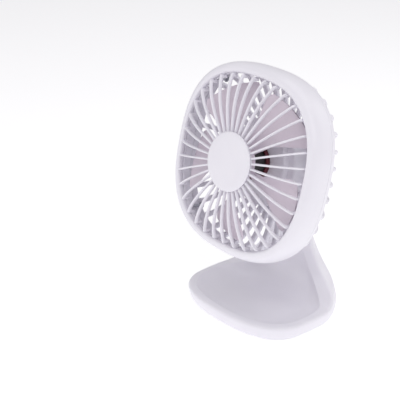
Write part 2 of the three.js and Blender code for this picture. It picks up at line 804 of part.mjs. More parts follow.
// For each point round the stand: the outline, its outward normal, and the dish's edge beside it
function standLine() {
  const outline = closedLine(OUTLINE);
  const dish = closedLine(DISH);
  return Array.from({ length: OUTLINE_STEPS * 2 }, (_, i) => {
    const t = outline.getUtoTmapping(i / (OUTLINE_STEPS * 2));
    const p = outline.getPoint(t);
    const tangent = outline.getTangent(t);
    return { p, normal: new THREE.Vector3(tangent.y, -tangent.x, 0), edge: dish.getPoint(t) };
  });
}
const STAND_LINE = standLine();
function bendAngle(s) {
  return THREE.MathUtils.clamp((s - FOOT_LENGTH) / BEND_R, 0, BEND_ANGLE);
}

// Where a point of the strip lies once it is bent: s along the underside, h above it
function bent(x, s, h) {
  const angle = bendAngle(s);
  const r = BEND_R - h;
  const rest = Math.max(0, s - FOOT_LENGTH - BEND_ANGLE * BEND_R);
  return new THREE.Vector3(
    x,
    FRONT_TIP_Y + Math.min(s, FOOT_LENGTH) + r * Math.sin(angle) + rest * Math.cos(angle),
    PAD_PROUD + BEND_R - r * Math.cos(angle) + rest * Math.sin(angle),
  );
}

// Height of the rim over the underside along the strip: tall round the foot, lower up the neck
function rimHeight(s) {
  return RIM_FOOT + (RIM_NECK - RIM_FOOT) * THREE.MathUtils.smoothstep(s, 98, 138);
}

// A ring drawn in from the outline by an amount
function outerRing(inset, height) {
  return STAND_LINE.map(({ p, normal }) =>
    bent(p.x - normal.x * inset, p.y - normal.y * inset, height(rimHeight(p.y))),
  );
}

// A ring part of the way across the rim, from the outline to the dish's edge
function rimRing(share, drop) {
  return STAND_LINE.map(({ p, edge }) => {
    const q = p.clone().lerp(edge, share);
    return bent(q.x, q.y, rimHeight(p.y) - drop);
  });
}

// A ring part of the way down the dish, from its edge to the strip's middle line
function dishRing(share, drop) {
  return STAND_LINE.map(({ p, edge }) => {
    const middle = THREE.MathUtils.clamp(edge.y, 30, NECK_TOP - 28);
    const fall = (1 - Math.min(1, share / 0.45)) ** 2;
    const h = FLOOR + (rimHeight(p.y) - 0.5 - FLOOR) * fall - drop;
    return bent(edge.x * (1 - share), edge.y + (middle - edge.y) * share, h);
  });
}

// Joins rings round the strip and closes both ends straight across from side to side
function stripSolid(rings) {
  const count = OUTLINE_STEPS * 2;
  const points = rings.flat();
  const triangles = [];
  const quad = (a, b, c, d) => triangles.push([a, b, c], [a, c, d]);
  for (let k = 0; k < rings.length - 1; k++)
    for (let i = 0; i < count; i++) {
      const j = (i + 1) % count;
      quad(k * count + i, k * count + j, (k + 1) * count + j, (k + 1) * count + i);
    }
  for (const [start, over] of [[0, true], [(rings.length - 1) * count, false]])
    for (let i = 0; i < OUTLINE_STEPS; i++) {
      const a = start + i;
      const b = start + i + 1;
      const c = start + ((count - i - 1) % count);
      const d = start + ((count - i) % count);
      if (i === 0) triangles.push(over ? [a, c, b] : [a, b, c]);
      else if (i === OUTLINE_STEPS - 1) triangles.push(over ? [a, d, b] : [a, b, d]);
      else if (over) quad(a, d, c, b);
      else quad(a, b, c, d);
    }
  return solid(
    new THREE.BufferGeometry()
      .setAttribute(
        "position",
        new THREE.Float32BufferAttribute(points.flatMap((p) => p.toArray()), 3),
      )
      .setIndex(triangles.flat()),
  );
}

// Sets a solid, made upright on the origin, square on the strip's underside
function onStrip(made, x, s) {
  return made
    .rotate([THREE.MathUtils.radToDeg(bendAngle(s)), 0, 0])
    .translate(bent(x, s, 0).toArray());
}

function rodZ(r, z0, z1, steps = 16) {
  return rodY(r, z0, z1, 0, 0, steps).rotate([90, 0, 0]);
}

// An ear: round about the hinge and drawn back in straight lines to the top of the neck
function ear(side) {
  const low = bent(0, NECK_TOP - 19, FLOOR - 1);
  const high = bent(0, NECK_TOP - 4, FLOOR - 1.4);
  const tangent = (p, turn) => {
    const dy = p.y - HINGE_Y;
    const dz = p.z - HINGE_Z;
    return Math.atan2(dz, dy) + turn * Math.acos(EAR_R / Math.hypot(dy, dz));
  };
  const from = tangent(low, -1) + 2 * Math.PI;
  const to = tangent(high, 1);
  const arc = Array.from({ length: 13 }, (_, i) => from + ((to - from) * i) / 12);
  const ring = (x) => [
    new THREE.Vector3(x, low.y, low.z),
    ...arc.map((a) => new THREE.Vector3(x, HINGE_Y + EAR_R * Math.cos(a), HINGE_Z + EAR_R * Math.sin(a))),
    new THREE.Vector3(x, high.y, high.z),
  ];
  return solid(loft([ring(side * EAR_X0), ring(side * EAR_X1)]));
}

const STAND_SCREWS = [
  [-45, 22],
  [45, 22],
  [-21.5, 119],
  [21.5, 119],
];

function standShell() {
  const rimDrop = (drop) => (rim) => rim - drop;
  const top = [
    dishRing(0.9, 0),
    dishRing(0.45, 0),
    dishRing(0.28, 0),
    dishRing(0.16, 0),
    dishRing(0.06, 0),
    rimRing(1, 0.5),
    rimRing(0.8, 0),
    rimRing(0.3, 0),
    outerRing(0.7, rimDrop(1)),
    outerRing(0, rimDrop(3)),
    outerRing(FOOT_FLARE * 0.55, () => 3.2),
    outerRing(FOOT_FLARE + 0.4, () => 0.5),
    outerRing(FOOT_FLARE + 1.2, () => 0),
  ];
  const under = [
    outerRing(BASE_INSET - GAP, () => 0),
    outerRing(BASE_INSET - GAP - 0.4, () => 1.6),
    outerRing(3.6, () => 4.4),
    outerRing(WALL, rimDrop(4)),
    rimRing(0.55, WALL),
    rimRing(0.9, WALL + 0.3),
    dishRing(0.1, FLOOR_THICK + 0.4),
    dishRing(0.24, FLOOR_THICK),
    dishRing(0.45, FLOOR_THICK),
    dishRing(0.9, FLOOR_THICK),
  ];
  const bosses = STAND_SCREWS.map(([x, s]) => onStrip(rodZ(2.8, BASE_THICK + 0.4, 8.2), x, s));
  const pilots = STAND_SCREWS.map(([x, s]) => onStrip(rodZ(1 + GAP, 0, 6, 12), x, s));
  const sinks = [
    rodX(SINK_R, -30, -SINK_X, HINGE_Y, HINGE_Z),
    rodX(SINK_R, SINK_X, 30, HINGE_Y, HINGE_Z),
  ];
  const bore = rodX(PIN_R + GAP, -20, 20, HINGE_Y, HINGE_Z, 24);
  return join([stripSolid([...top, ...under]), ...bosses, ear(-1), ear(1)]).subtract(
    join([...pilots, ...sinks, bore]),
  );
}

function standBase() {
  const plate = stripSolid([
    outerRing(BASE_INSET, () => 0.1 + BASE_THICK),
    outerRing(BASE_INSET, () => 0.1),
  ]);
  const holes = STAND_SCREWS.map(([x, s]) => onStrip(rodZ(1 + GAP, -2, 3, 12), x, s));
  const sinks = STAND_SCREWS.map(([x, s]) => onStrip(rodZ(2.3 + GAP, -2, 0.8), x, s));
  return plate.subtract(join([...holes, ...sinks]));
}

// A flat plate in the foot's outline, drawn in, between two heights above the table
function footPlate(inset, z0, z1) {
  const points = STAND_LINE.filter(({ p }) => p.y < FOOT_LENGTH - 3).map(
    ({ p, normal }) => new THREE.Vector2(p.x - normal.x * inset, p.y - normal.y * inset + FRONT_TIP_Y),
  );
  const start = points.findIndex((q, i) => i > 0 && q.x < 0 && points[i - 1].x > 0);
  const shape = new THREE.Shape([...points.slice(start), ...points.slice(0, start)]);
  const plate = new THREE.ExtrudeGeometry(shape, { depth: z1 - z0, bevelEnabled: false });
  plate.translate(0, 0, z0);
  return solid(plate);
}

function gripPad() {
  const pad = footPlate(10, 0, PAD_PROUD + 0.1 - GAP);
  const holes = STAND_SCREWS.slice(0, 2).map(([x, s]) => onStrip(rodZ(3.4, -4, 3), x, s));
  return pad.subtract(join(holes));
}

function ballast() {
  const low = PAD_PROUD + BASE_THICK + 0.1 + GAP;
  const plate = footPlate(18, low, PAD_PROUD + FLOOR - FLOOR_THICK - GAP);
  const holes = STAND_SCREWS.slice(0, 2).map(([x, s]) => onStrip(rodZ(4, -4, 9), x, s));
  return plate.subtract(join(holes));
}

function standScrew([x, s]) {
  const made = screw(1, 2.3, 0.6, 4.2).rotate([-90, 0, 0]).translate([0, 0, 0.5]);
  return onStrip(made, x, s);
}

function hexNut() {
  const nut = turned([[0, 0], [PIN_HEAD_R, 0], [PIN_HEAD_R, 1.4], [0, 1.4]], 6);
  return nut
    .rotate([0, 0, -90])
    .translate([-SINK_X - GAP - 1.4, HINGE_Y, HINGE_Z])
    .subtract(rodX(PIN_R + GAP, -20, 20, HINGE_Y, HINGE_Z, 20));
}

// ---------------------------------------------------------------- assembly
const HINGE_CAP_X = SINK_X + GAP + 1.4 + GAP;

function addStand(group) {
  group.add(piece("stand_shell", "shell", standShell()));
  group.add(piece("stand_base", "inner", standBase()));
  group.add(piece("ballast_plate", "steel", ballast()));
  group.add(piece("grip_pad", "rubber", gripPad()));
  STAND_SCREWS.forEach((at, i) => group.add(piece(`stand_screw_${i + 1}`, "steel", standScrew(at))));
  const pin = rodX(PIN_R, -SINK_X - GAP - 1.4, SINK_X + 1, HINGE_Y, HINGE_Z, 20).add(
    rodX(PIN_HEAD_R, SINK_X + GAP, SINK_X + GAP + 1.4, HINGE_Y, HINGE_Z, 20),
  );
  group.add(piece("hinge_pin", "steel", pin));
  group.add(piece("hinge_nut", "steel", hexNut()));
  for (const [side, name] of [[-1, "left"], [1, "right"]]) {
    const washerX = [KNUCKLE_HALF + GAP, KNUCKLE_HALF + GAP + WASHER_THICK].map((x) => side * x);
    const washer = rodX(EAR_R - 0.8, Math.min(...washerX), Math.max(...washerX), HINGE_Y, HINGE_Z);
    const hole = rodX(PIN_R + GAP, -20, 20, HINGE_Y, HINGE_Z, 20);
    group.add(piece(`hinge_washer_${name}`, "black", washer.subtract(hole)));
    const capX = [HINGE_CAP_X, EAR_X1 + 0.6].map((x) => side * x);
    const cap = rodX(SINK_R - GAP, Math.min(...capX), Math.max(...capX), HINGE_Y, HINGE_Z);
    group.add(piece(`hinge_cap_${name}`, "inner", cap));
  }
}

function addShells(group) {
  group.add(piece("front_shell", "shell", frontShell()));
  group.add(piece("front_grille", "shell", frontGrille()));
  group.add(piece("front_badge", "shell", badge()));
  group.add(piece("rear_grille", "shell", rearGrille()));
  shellScrewPlaces().forEach(([x, z], i) => {
    const made = screw(SCREW_R, SCREW_HEAD_R, 1.4, SHELL_SCREW_LENGTH);
    group.add(piece(`shell_screw_${i + 1}`, "steel", made.translate([x, SHELL_SCREW_Y, z])));
  });
}

function addMotor(group, rotor) {
  const front = MOTOR_FRONT_Y;
  const back = MOTOR_BACK_Y;
  rotor.add(piece("impeller", "blade", impeller()));
  const shaft = rodY(SHAFT_R, HUB_FRONT_Y + 1.9, back + BELL_LENGTH, 0, 0, 16);
  rotor.add(piece("motor_shaft", "steel", shaft));
  const core = collar(SHAFT_R + GAP, 8.8, front + 5, back - 6, 24);
  rotor.add(piece("motor_core", "copper", core));
  const commutator = collar(SHAFT_R + GAP, 3, back - 5.4, back - 1.4, 16);
  rotor.add(piece("motor_commutator", "brass", commutator));
  group.add(piece("motor_can", "black", motorCan()));
  const bush = collar(SHAFT_R + GAP, 2.3, front - 0.9, front + 2.6, 20);
  group.add(piece("motor_bush", "brass", bush));
  const magnet = collar(9.4, MOTOR_R - 0.9 - GAP, front + 4, back - 4, 28);
  group.add(piece("motor_magnet", "magnet", magnet));
  group.add(piece("motor_bell", "black", motorBell()));
  const sleeve = collar(MOTOR_R + GAP, MOTOR_R + 1.5, POD_FRONT_Y - 4, POD_FRONT_Y - GAP, 28);
  group.add(piece("motor_sleeve", "maroon", sleeve));
  group.add(piece("motor_bracket", "steel", bracket()));
  bracketPlaces().forEach((x, i) => {
    const made = screw(1, 1.9, 1.1, 7).translate([x, BRACKET_Y + BRACKET.t + GAP, 0]);
    group.add(piece(`bracket_screw_${i + 1}`, "steel", made));
  });
}

function addElectronics(group) {
  const padBack = BATTERY.y - GAP;
  const padFront = BRACKET_Y + BRACKET.t + GAP;
  group.add(piece("battery_pad", "rubber", block(-10, 10, padFront, padBack, -5.4, 5.4)));
  group.add(piece("battery", "cell", roundedSlab(BATTERY.w, BATTERY.h, BATTERY.t, BATTERY.y, 2.4)));
  group.add(piece("control_board", "board", controlBoard()));
  boardScrewPlaces().forEach(([x, z], i) => {
    const made = screw(1, 1.9, 1, 6).rotate([180, 0, 0]).translate([x, BOARD.y - GAP, z]);
    group.add(piece(`board_screw_${i + 1}`, "steel", made));
  });
  group.add(piece("tact_switch", "black", tactSwitch()));
  const chip = block(-13.5, -6.5, ON_BOARD_Y, ON_BOARD_Y + 1.2, -13, -6);
  group.add(piece("control_chip", "black", chip));
  const reach = LENS.half - 0.5;
  const strip = block(-reach, reach, ON_BOARD_Y, ON_BOARD_Y + 1.2, LENS.z - 1, LENS.z + 1);
  group.add(piece("led_strip", "lens", strip));
  group.add(piece("status_lens", "lens", statusLens()));
  group.add(piece("usb_socket", "steel", usbSocket()));
  group.add(piece("pod_cover", "shell", podCover()));
  podScrewPlaces().forEach(([x, z], i) => {
    const made = screw(SCREW_R, SCREW_HEAD_R, 1.4, SHELL_SCREW_LENGTH);
    group.add(piece(`cover_screw_${i + 1}`, "steel", made.translate([x, POD_REAR_Y + 2 + GAP, z])));
  });
  group.add(piece("motor_lead_red", "red", motorLead(3)));
  group.add(piece("motor_lead_black", "black", motorLead(6)));
  group.add(piece("battery_lead_red", "red", batteryLead(-5)));
  group.add(piece("battery_lead_black", "black", batteryLead(-8)));
}

const fan = new THREE.Group();
fan.name = "desk_fan";
const stand = new THREE.Group();
stand.name = "stand";
const head = new THREE.Group();
head.name = "head";
head.position.set(0, HEAD_Y, HEAD_Z);
head.rotation.x = rad(-HEAD_TILT);
const rotor = new THREE.Group();
rotor.name = "rotor";
const button = new THREE.Group();
button.name = "button";
fan.add(stand, head);
head.add(rotor, button);
addStand(stand);
addShells(head);
addMotor(head, rotor);
addElectronics(head);
button.add(piece("power_button", "button", powerButton()));

export default fan;
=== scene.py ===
"""Visual model of a rechargeable desk fan on a spoon-shaped stand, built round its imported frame.

Sizes are millimetres in the classes below. The head's pieces are drawn in the head's own frame, with y
to the back and z up, and are set in place when they become meshes. The stand is drawn in the row frame.
"""

import sys

import logging
import math
from bisect import bisect_left
from dataclasses import dataclass, field
from enum import Enum

import bmesh
import bpy
from mathutils import Matrix, Vector


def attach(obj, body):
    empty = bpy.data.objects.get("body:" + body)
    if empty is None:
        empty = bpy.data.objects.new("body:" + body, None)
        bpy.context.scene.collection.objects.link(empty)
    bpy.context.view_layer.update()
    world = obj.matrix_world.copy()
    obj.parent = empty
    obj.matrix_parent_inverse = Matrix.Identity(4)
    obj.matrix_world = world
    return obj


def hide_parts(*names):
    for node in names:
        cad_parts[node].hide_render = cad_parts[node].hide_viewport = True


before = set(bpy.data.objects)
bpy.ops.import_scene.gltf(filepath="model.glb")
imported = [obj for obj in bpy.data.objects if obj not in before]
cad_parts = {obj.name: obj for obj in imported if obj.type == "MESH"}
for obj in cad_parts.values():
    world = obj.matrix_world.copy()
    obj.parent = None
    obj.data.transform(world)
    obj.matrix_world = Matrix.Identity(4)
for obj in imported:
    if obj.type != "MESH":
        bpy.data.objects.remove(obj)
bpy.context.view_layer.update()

log = logging.getLogger("desk_fan")

TAU = 2 * math.pi
GAP = 0.3
WALL = 2.2
CORNER_POWER = 2.58
HEAD_TILT = math.radians(14.4)
HEAD_PLACE = (0.0, -20.0, 132.0)
MILLIMETRES = Matrix.Scale(0.001, 4)
HEAD_FRAME = MILLIMETRES @ Matrix.Translation(HEAD_PLACE) @ Matrix.Rotation(-HEAD_TILT, 4, "X")

Pair = tuple[float, float]
Triple = tuple[float, float, float]
Ring = list[Vector]


class Slot(Enum):
    """The record's finishes."""

    SHELL = "shell_white"
    INNER = "inner_white"
    BLADE = "blade_white"
    BUTTON = "button_grey"
    RUBBER = "rubber_grey"
    STEEL = "steel"
    BRASS = "brass"
    BLACK = "black_plastic"
    MOTOR = "motor_black"
    MAGNET = "magnet_dark"
    COPPER = "copper"
    CELL = "cell_foil"
    BOARD = "board_green"
    RED = "red_plastic"
    LENS = "lens_clear"


class Body(Enum):
    """The moving bodies of the fan."""

    STAND = "stand"
    HEAD = "head"
    ROTOR = "rotor"
    BUTTON = "button"


class SocketKind(Enum):
    """Kinds of named input on a geometry tree."""

    NUMBER = "NodeSocketFloat"
    COUNT = "NodeSocketInt"
    MATERIAL = "NodeSocketMaterial"


# ---------------------------------------------------------------- node trees
class Wire:
    """A node's output socket that can be used in arithmetic."""

    def __init__(self, board: "Board", socket: bpy.types.NodeSocket | None) -> None:
        """Keeps the tree and the socket.

        Args:
            board: the tree that the socket is in.
            socket: the output that the value comes from.
        """
        self.board = board
        self.socket = socket

    def math(self, operation: str, *values: "Wire | float") -> "Wire":
        """Adds one Math node.

        Args:
            operation: the node's operation.
            values: its inputs in order.

        Returns:
            The node's result.
        """
        sockets = dict(enumerate(values))
        return self.board.node("ShaderNodeMath", {"operation": operation}, sockets)

    def __add__(self, other: "Wire | float") -> "Wire":
        """self + other."""
        return self.math("ADD", self, other)

    def __radd__(self, other: float) -> "Wire":
        """other + self."""
        return self.math("ADD", other, self)

    def __sub__(self, other: "Wire | float") -> "Wire":
        """self - other."""
        return self.math("SUBTRACT", self, other)

    def __rsub__(self, other: float) -> "Wire":
        """other - self."""
        return self.math("SUBTRACT", other, self)

    def __mul__(self, other: "Wire | float") -> "Wire":
        """self * other."""
        return self.math("MULTIPLY", self, other)

    def __rmul__(self, other: float) -> "Wire":
        """other * self."""
        return self.math("MULTIPLY", other, self)

    def __truediv__(self, other: "Wire | float") -> "Wire":
        """self / other."""
        return self.math("DIVIDE", self, other)

    def __rtruediv__(self, other: float) -> "Wire":
        """other / self."""
        return self.math("DIVIDE", other, self)

    def __pow__(self, other: "Wire | float") -> "Wire":
        """self ** other."""
        return self.math("POWER", self, other)

    def __neg__(self) -> "Wire":
        """-self."""
        return self.math("MULTIPLY", self, -1.0)

    def __abs__(self) -> "Wire":
        """The value without its sign."""
        return self.math("ABSOLUTE", self)

    def __gt__(self, other: "Wire | float") -> "Wire":
        """1 where self is greater, else 0."""
        return self.math("GREATER_THAN", self, other)

    def __lt__(self, other: "Wire | float") -> "Wire":
        """1 where self is less, else 0."""
        return self.math("LESS_THAN", self, other)

    def sin(self) -> "Wire":
        """Sine of an angle in radians."""
        return self.math("SINE", self)

    def cos(self) -> "Wire":
        """Cosine of an angle in radians."""
        return self.math("COSINE", self)

    def arctan(self) -> "Wire":
        """Angle whose tangent this is."""
        return self.math("ARCTANGENT", self)

    def sign(self) -> "Wire":
        """-1, 0 or 1."""
        return self.math("SIGN", self)

    def unit(self) -> "Wire":
        """The value held between 0 and 1."""
        capped = self.math("MINIMUM", self, 1.0)
        return capped.math("MAXIMUM", capped, 0.0)


class Board:
    """A node tree and the one way in which its nodes are made."""

    def __init__(self, tree: bpy.types.NodeTree) -> None:
        """Keeps the tree.

        Args:
            tree: a shader or geometry tree.
        """
        self.tree = tree

    def node(
        self,
        kind: str,
        settings: dict[str, object] | None = None,
        sockets: dict[str | int, object] | None = None,
        out: str | int = 0,
    ) -> Wire:
        """Adds a node: first its settings, then the values and links of its sockets.

        Args:
            kind: the node's type.
            settings: its properties, with "stops" for a ramp's positions and colours.
            sockets: numbers, colours or wires by socket name or index.
            out: the output to give back.

        Returns:
            The chosen output.
        """
        made = self.tree.nodes.new(kind)
        for key, value in (settings or {}).items():
            if key == "stops":
                self._stops(made.color_ramp, value)
            else:
                setattr(made, key, value)
        for key, value in (sockets or {}).items():
            if isinstance(value, Wire):
                self.tree.links.new(value.socket, made.inputs[key])
            else:
                made.inputs[key].default_value = value
        return Wire(self, made.outputs[out] if made.outputs else None)

    @staticmethod
    def _stops(ramp: bpy.types.ColorRamp, stops: list[tuple[float, tuple]]) -> None:
        """Sets a ramp's stops.

        Args:
            ramp: the ramp to change.
            stops: position and colour of each stop.
        """
        while len(ramp.elements) < len(stops):
            ramp.elements.new(0.5)
        for element, (position, colour) in zip(ramp.elements, stops):
            element.position = position
            element.color = colour


class SurfaceBoard(Board):
    """The node tree of one material."""

    def __init__(self, name: str) -> None:
        """Starts an empty material.

        Args:
            name: the material's name.
        """
        self.material = bpy.data.materials.new(name)
        self.material.use_nodes = True
        self.material.node_tree.nodes.clear()
        super().__init__(self.material.node_tree)

    def place(self) -> Wire:
        """The piece's own coordinates, in metres."""
        return self.node("ShaderNodeTexCoord", out="Object")

    def stretched(self, scale: Triple, turn: Triple = (0.0, 0.0, 0.0)) -> Wire:
        """The piece's coordinates, turned and stretched.

        Args:
            scale: factor along each axis.
            turn: angles in radians.

        Returns:
            The new coordinates.
        """
        sockets = {"Vector": self.place(), "Rotation": turn, "Scale": scale}
        return self.node("ShaderNodeMapping", {"vector_type": "TEXTURE"}, sockets)

    def noise(self, scale: float, detail: float = 2.0, vector: Wire | None = None) -> Wire:
        """Smooth noise from 0 to 1.

        Args:
            scale: features per metre.
            detail: octaves.
            vector: where it is read, or the piece's own coordinates.

        Returns:
            The noise.
        """
        sockets = {"Vector": vector or self.place(), "Scale": scale, "Detail": detail}
        return self.node("ShaderNodeTexNoise", {"noise_dimensions": "3D"}, sockets)

    def blend(self, factor: Wire, first: tuple | Wire, second: tuple | Wire) -> Wire:
        """Mixes two colours.

        Args:
            factor: 0 for the first and 1 for the second.
            first: a colour.
            second: a colour.

        Returns:
            The mixed colour.
        """
        return self.node("ShaderNodeMix", {"data_type": "RGBA"}, {0: factor, 6: first, 7: second}, 2)

    def relief(self, height: Wire, depth: float, strength: float = 1.0) -> Wire:
        """A normal from a height pattern.

        Args:
            height: the pattern, 0 to 1.
            depth: metres from its lowest to its highest.
            strength: share of the effect.

        Returns:
            The normal.
        """
        sockets = {"Strength": strength, "Distance": depth, "Height": height}
        return self.node("ShaderNodeBump", {}, sockets)

    def surface(self, sockets: dict[str, object]) -> bpy.types.Material:
        """Ends the material in a Principled shader.

        Args:
            sockets: values and links of the shader's sockets.

        Returns:
            The finished material.
        """
        shader = self.node("ShaderNodeBsdfPrincipled", {}, sockets)
        self.node("ShaderNodeOutputMaterial", {}, {"Surface": shader})
        return self.material


class FormBoard(Board):
    """A geometry tree with named inputs that gives one piece's mesh."""

    def __init__(self, name: str) -> None:
        """Starts an empty tree that takes and gives geometry.

        Args:
            name: the tree's name.
        """
        super().__init__(bpy.data.node_groups.new(name, "GeometryNodeTree"))
        face = self.tree.interface
        face.new_socket(name="Geometry", in_out="INPUT", socket_type="NodeSocketGeometry")
        face.new_socket(name="Geometry", in_out="OUTPUT", socket_type="NodeSocketGeometry")
        self.entry = self.tree.nodes.new("NodeGroupInput")
        self.given: dict[str, object] = {}

    def given_geometry(self) -> Wire:
        """The geometry that the tree is given."""
        return Wire(self, self.entry.outputs[0])

    def given_value(self, name: str, kind: SocketKind, value: object) -> Wire:
        """Adds a named input.

        Args:
            name: what the input is called.
            kind: what it holds.
            value: what this piece sets it to.

        Returns:
            The input's value in the tree.
        """
        socket = self.tree.interface.new_socket(name=name, in_out="INPUT", socket_type=kind.value)
        self.given[socket.identifier] = value
        return Wire(self, self.entry.outputs[name])

    def number(self, name: str, value: float) -> Wire:
        """A named number."""
        return self.given_value(name, SocketKind.NUMBER, float(value))

    def count(self, name: str, value: int) -> Wire:
        """A named whole number."""
        return self.given_value(name, SocketKind.COUNT, int(value))

    def stored(self, geometry: Wire, name: str, value: Wire) -> Wire:
        """Keeps a value on the points of a geometry.

        Args:
            geometry: what it is kept on.
            name: the attribute.
            value: the number.

        Returns:
            The geometry with its attribute.
        """
        settings = {"data_type": "FLOAT", "domain": "POINT"}
        sockets = {"Geometry": geometry, "Name": name, "Value": value}
        return self.node("GeometryNodeStoreNamedAttribute", settings, sockets)

    def recalled(self, name: str) -> Wire:
        """A number kept on the points."""
        settings = {"data_type": "FLOAT"}
        return self.node("GeometryNodeInputNamedAttribute", settings, {"Name": name})

    def vector(self, x: Wire | float, y: Wire | float, z: Wire | float) -> Wire:
        """A vector from three numbers."""
        return self.node("ShaderNodeCombineXYZ", {}, {0: x, 1: y, 2: z})

    def finish(self, geometry: Wire, material: bpy.types.Material) -> None:
        """Ends the tree in Realize Instances and Set Material.

        Args:
            geometry: the result.
            material: its finish.
        """
        paint = self.given_value("Finish", SocketKind.MATERIAL, material)
        plain = self.node("GeometryNodeRealizeInstances", {}, {"Geometry": geometry})
        painted = self.node("GeometryNodeSetMaterial", {}, {"Geometry": plain, "Material": paint})
        self.node_output(painted)

    def node_output(self, geometry: Wire) -> None:
        """Links the tree's output."""
        end = self.tree.nodes.new("NodeGroupOutput")
        self.tree.links.new(geometry.socket, end.inputs[0])

    def mesh(self, points: list[Triple], turns: list[float] | None = None) -> bpy.types.Mesh:
        """Runs the tree on loose points and gives a plain mesh.

        Args:
            points: the points that the tree is given.
            turns: an angle for each point, kept as the attribute "turn".

        Returns:
            The mesh, in millimetres.
        """
        start = bpy.data.meshes.new("start")
        start.from_pydata(points, [], [])
        if turns:
            start.attributes.new("turn", "FLOAT", "POINT").data.foreach_set("value", turns)
        carrier = bpy.data.objects.new("carrier", start)
        bpy.context.scene.collection.objects.link(carrier)
        modifier = carrier.modifiers.new("form", "NODES")
        modifier.node_group = self.tree
        for identifier, value in self.given.items():
            modifier[identifier] = value
        made = evaluated(carrier)
        bpy.data.objects.remove(carrier)
        return made


# ---------------------------------------------------------------- meshes
def evaluated(item: bpy.types.Object) -> bpy.types.Mesh:
    """An object's mesh with its modifiers applied.

    Args:
        item: an object in the scene.

    Returns:
        A plain mesh of its own.
    """
    bpy.context.view_layer.update()
    graph = bpy.context.evaluated_depsgraph_get()
    return bpy.data.meshes.new_from_object(item.evaluated_get(graph))


@dataclass
class Form:
    """Points and faces in millimetres, gathered before they become a mesh."""

    points: list[Vector] = field(default_factory=list)
    faces: list[tuple[int, ...]] = field(default_factory=list)

    def add(self, other: "Form") -> "Form":
        """Takes in another form.

        Args:
            other: the form to add.

        Returns:
            This form.
        """
        start = len(self.points)
        self.points += other.points
        self.faces += [tuple(start + i for i in face) for face in other.faces]
        return self

    def moved(self, matrix: Matrix) -> "Form":
        """A copy of the form in another place."""
        return Form([matrix @ p for p in self.points], list(self.faces))

    def mesh(self, name: str) -> bpy.types.Mesh:
        """Makes a clean closed mesh with its faces outwards.

        Args:
            name: the mesh's name.

        Returns:
            The mesh, in millimetres.
        """
        made = bpy.data.meshes.new(name)
        made.from_pydata([tuple(p) for p in self.points], [], self.faces)
        clean(made)
        return made


def clean(mesh: bpy.types.Mesh) -> None:
    """Merges doubles, drops faces without area and turns the rest outwards.

    Args:
        mesh: the mesh to change, in millimetres.
    """
    work = bmesh.new()
    work.from_mesh(mesh)
    bmesh.ops.remove_doubles(work, verts=work.verts, dist=1e-3)
    bmesh.ops.dissolve_degenerate(work, edges=work.edges, dist=1e-4)
    bmesh.ops.recalc_face_normals(work, faces=work.faces)
    work.to_mesh(mesh)
    work.free()


def loft(rings: list[Ring], loop: bool = False) -> Form:
    """Joins rings of points. An open run closes each end on its own middle.

    Args:
        rings: rings with the same number of points.
        loop: whether the last ring meets the first.

    Returns:
        The closed form.
    """
    count = len(rings[0])
    form = Form([p.copy() for ring in rings for p in ring])
    for k in range(len(rings) if loop else len(rings) - 1):
        a, b = k * count, (k + 1) % len(rings) * count
        for i in range(count):
            j = (i + 1) % count
            form.faces.append((a + i, a + j, b + j, b + i))
    if not loop:
        form.faces.append(tuple(range(count)))
        form.faces.append(tuple(range(len(rings) * count - count, len(rings) * count)))
    return form


def squareness(angle: float) -> float:
    """How much further out a rounded square reaches at an angle than a circle."""
    c = abs(math.cos(angle)) ** CORNER_POWER
    s = abs(math.sin(angle)) ** CORNER_POWER
    return (c + s) ** (-1 / CORNER_POWER)


def square_loop(profile: list[Pair], steps: int = 168) -> Form:
    """Carries a closed profile round the head's rounded square.

    Args:
        profile: half-widths and depths.
        steps: points round the square.

    Returns:
        The closed form.
    """
    angles = [TAU * i / steps for i in range(steps)]
    reach = [(math.cos(a) * squareness(a), math.sin(a) * squareness(a)) for a in angles]
    return loft([[Vector((h * x, y, h * z)) for x, z in reach] for h, y in profile], loop=True)


def turned(profile: list[Pair], steps: int = 72) -> Form:
    """Turns a profile about the y axis. It closes on itself, or begins and ends on the axis.

    Args:
        profile: radii and depths.
        steps: points round the axis.

    Returns:
        The closed form.
    """
    circle = [(math.cos(TAU * i / steps), math.sin(TAU * i / steps)) for i in range(steps)]
    rings = [[Vector((r * x, y, r * z)) for x, z in circle] for r, y in profile]
    return loft(rings, loop=True)


def rod(r: float, y0: float, y1: float, x: float = 0.0, z: float = 0.0, steps: int = 48) -> Form:
    """A plain rod along y, for cutting and for posts."""
    made = turned([(0, y0), (r, y0), (r, y1), (0, y1)], steps)
    return made.moved(Matrix.Translation((x, 0, z)))


def along_x(form: Form, y: float, z: float) -> Form:
    """Turns a form made along y so that it runs along x through a point."""
    return form.moved(Matrix.Translation((0, y, z)) @ Matrix.Rotation(-math.pi / 2, 4, "Z"))


def slab(low: Triple, high: Triple) -> Form:
    """A block between two corners, for cutting and for arms."""
    (x0, y0, z0), (x1, y1, z1) = low, high
    near = [Vector((x, y0, z)) for x, z in ((x0, z0), (x1, z0), (x1, z1), (x0, z1))]
    far = [Vector((p.x, y1, p.z)) for p in near]
    return loft([near, far])


def spline(points: list[Pair], count: int, closed: bool = False) -> list[Pair]:
    """Points on a smooth line through others, which keeps them on it.

    Args:
        points: places that the line passes.
        count: how many points to give, evenly in the line's own measure.
        closed: whether the line meets its start.

    Returns:
        The points, and for an open line both of its ends.
    """
    return [at_spline(points, i / count if closed else i / (count - 1), closed) for i in range(count)]


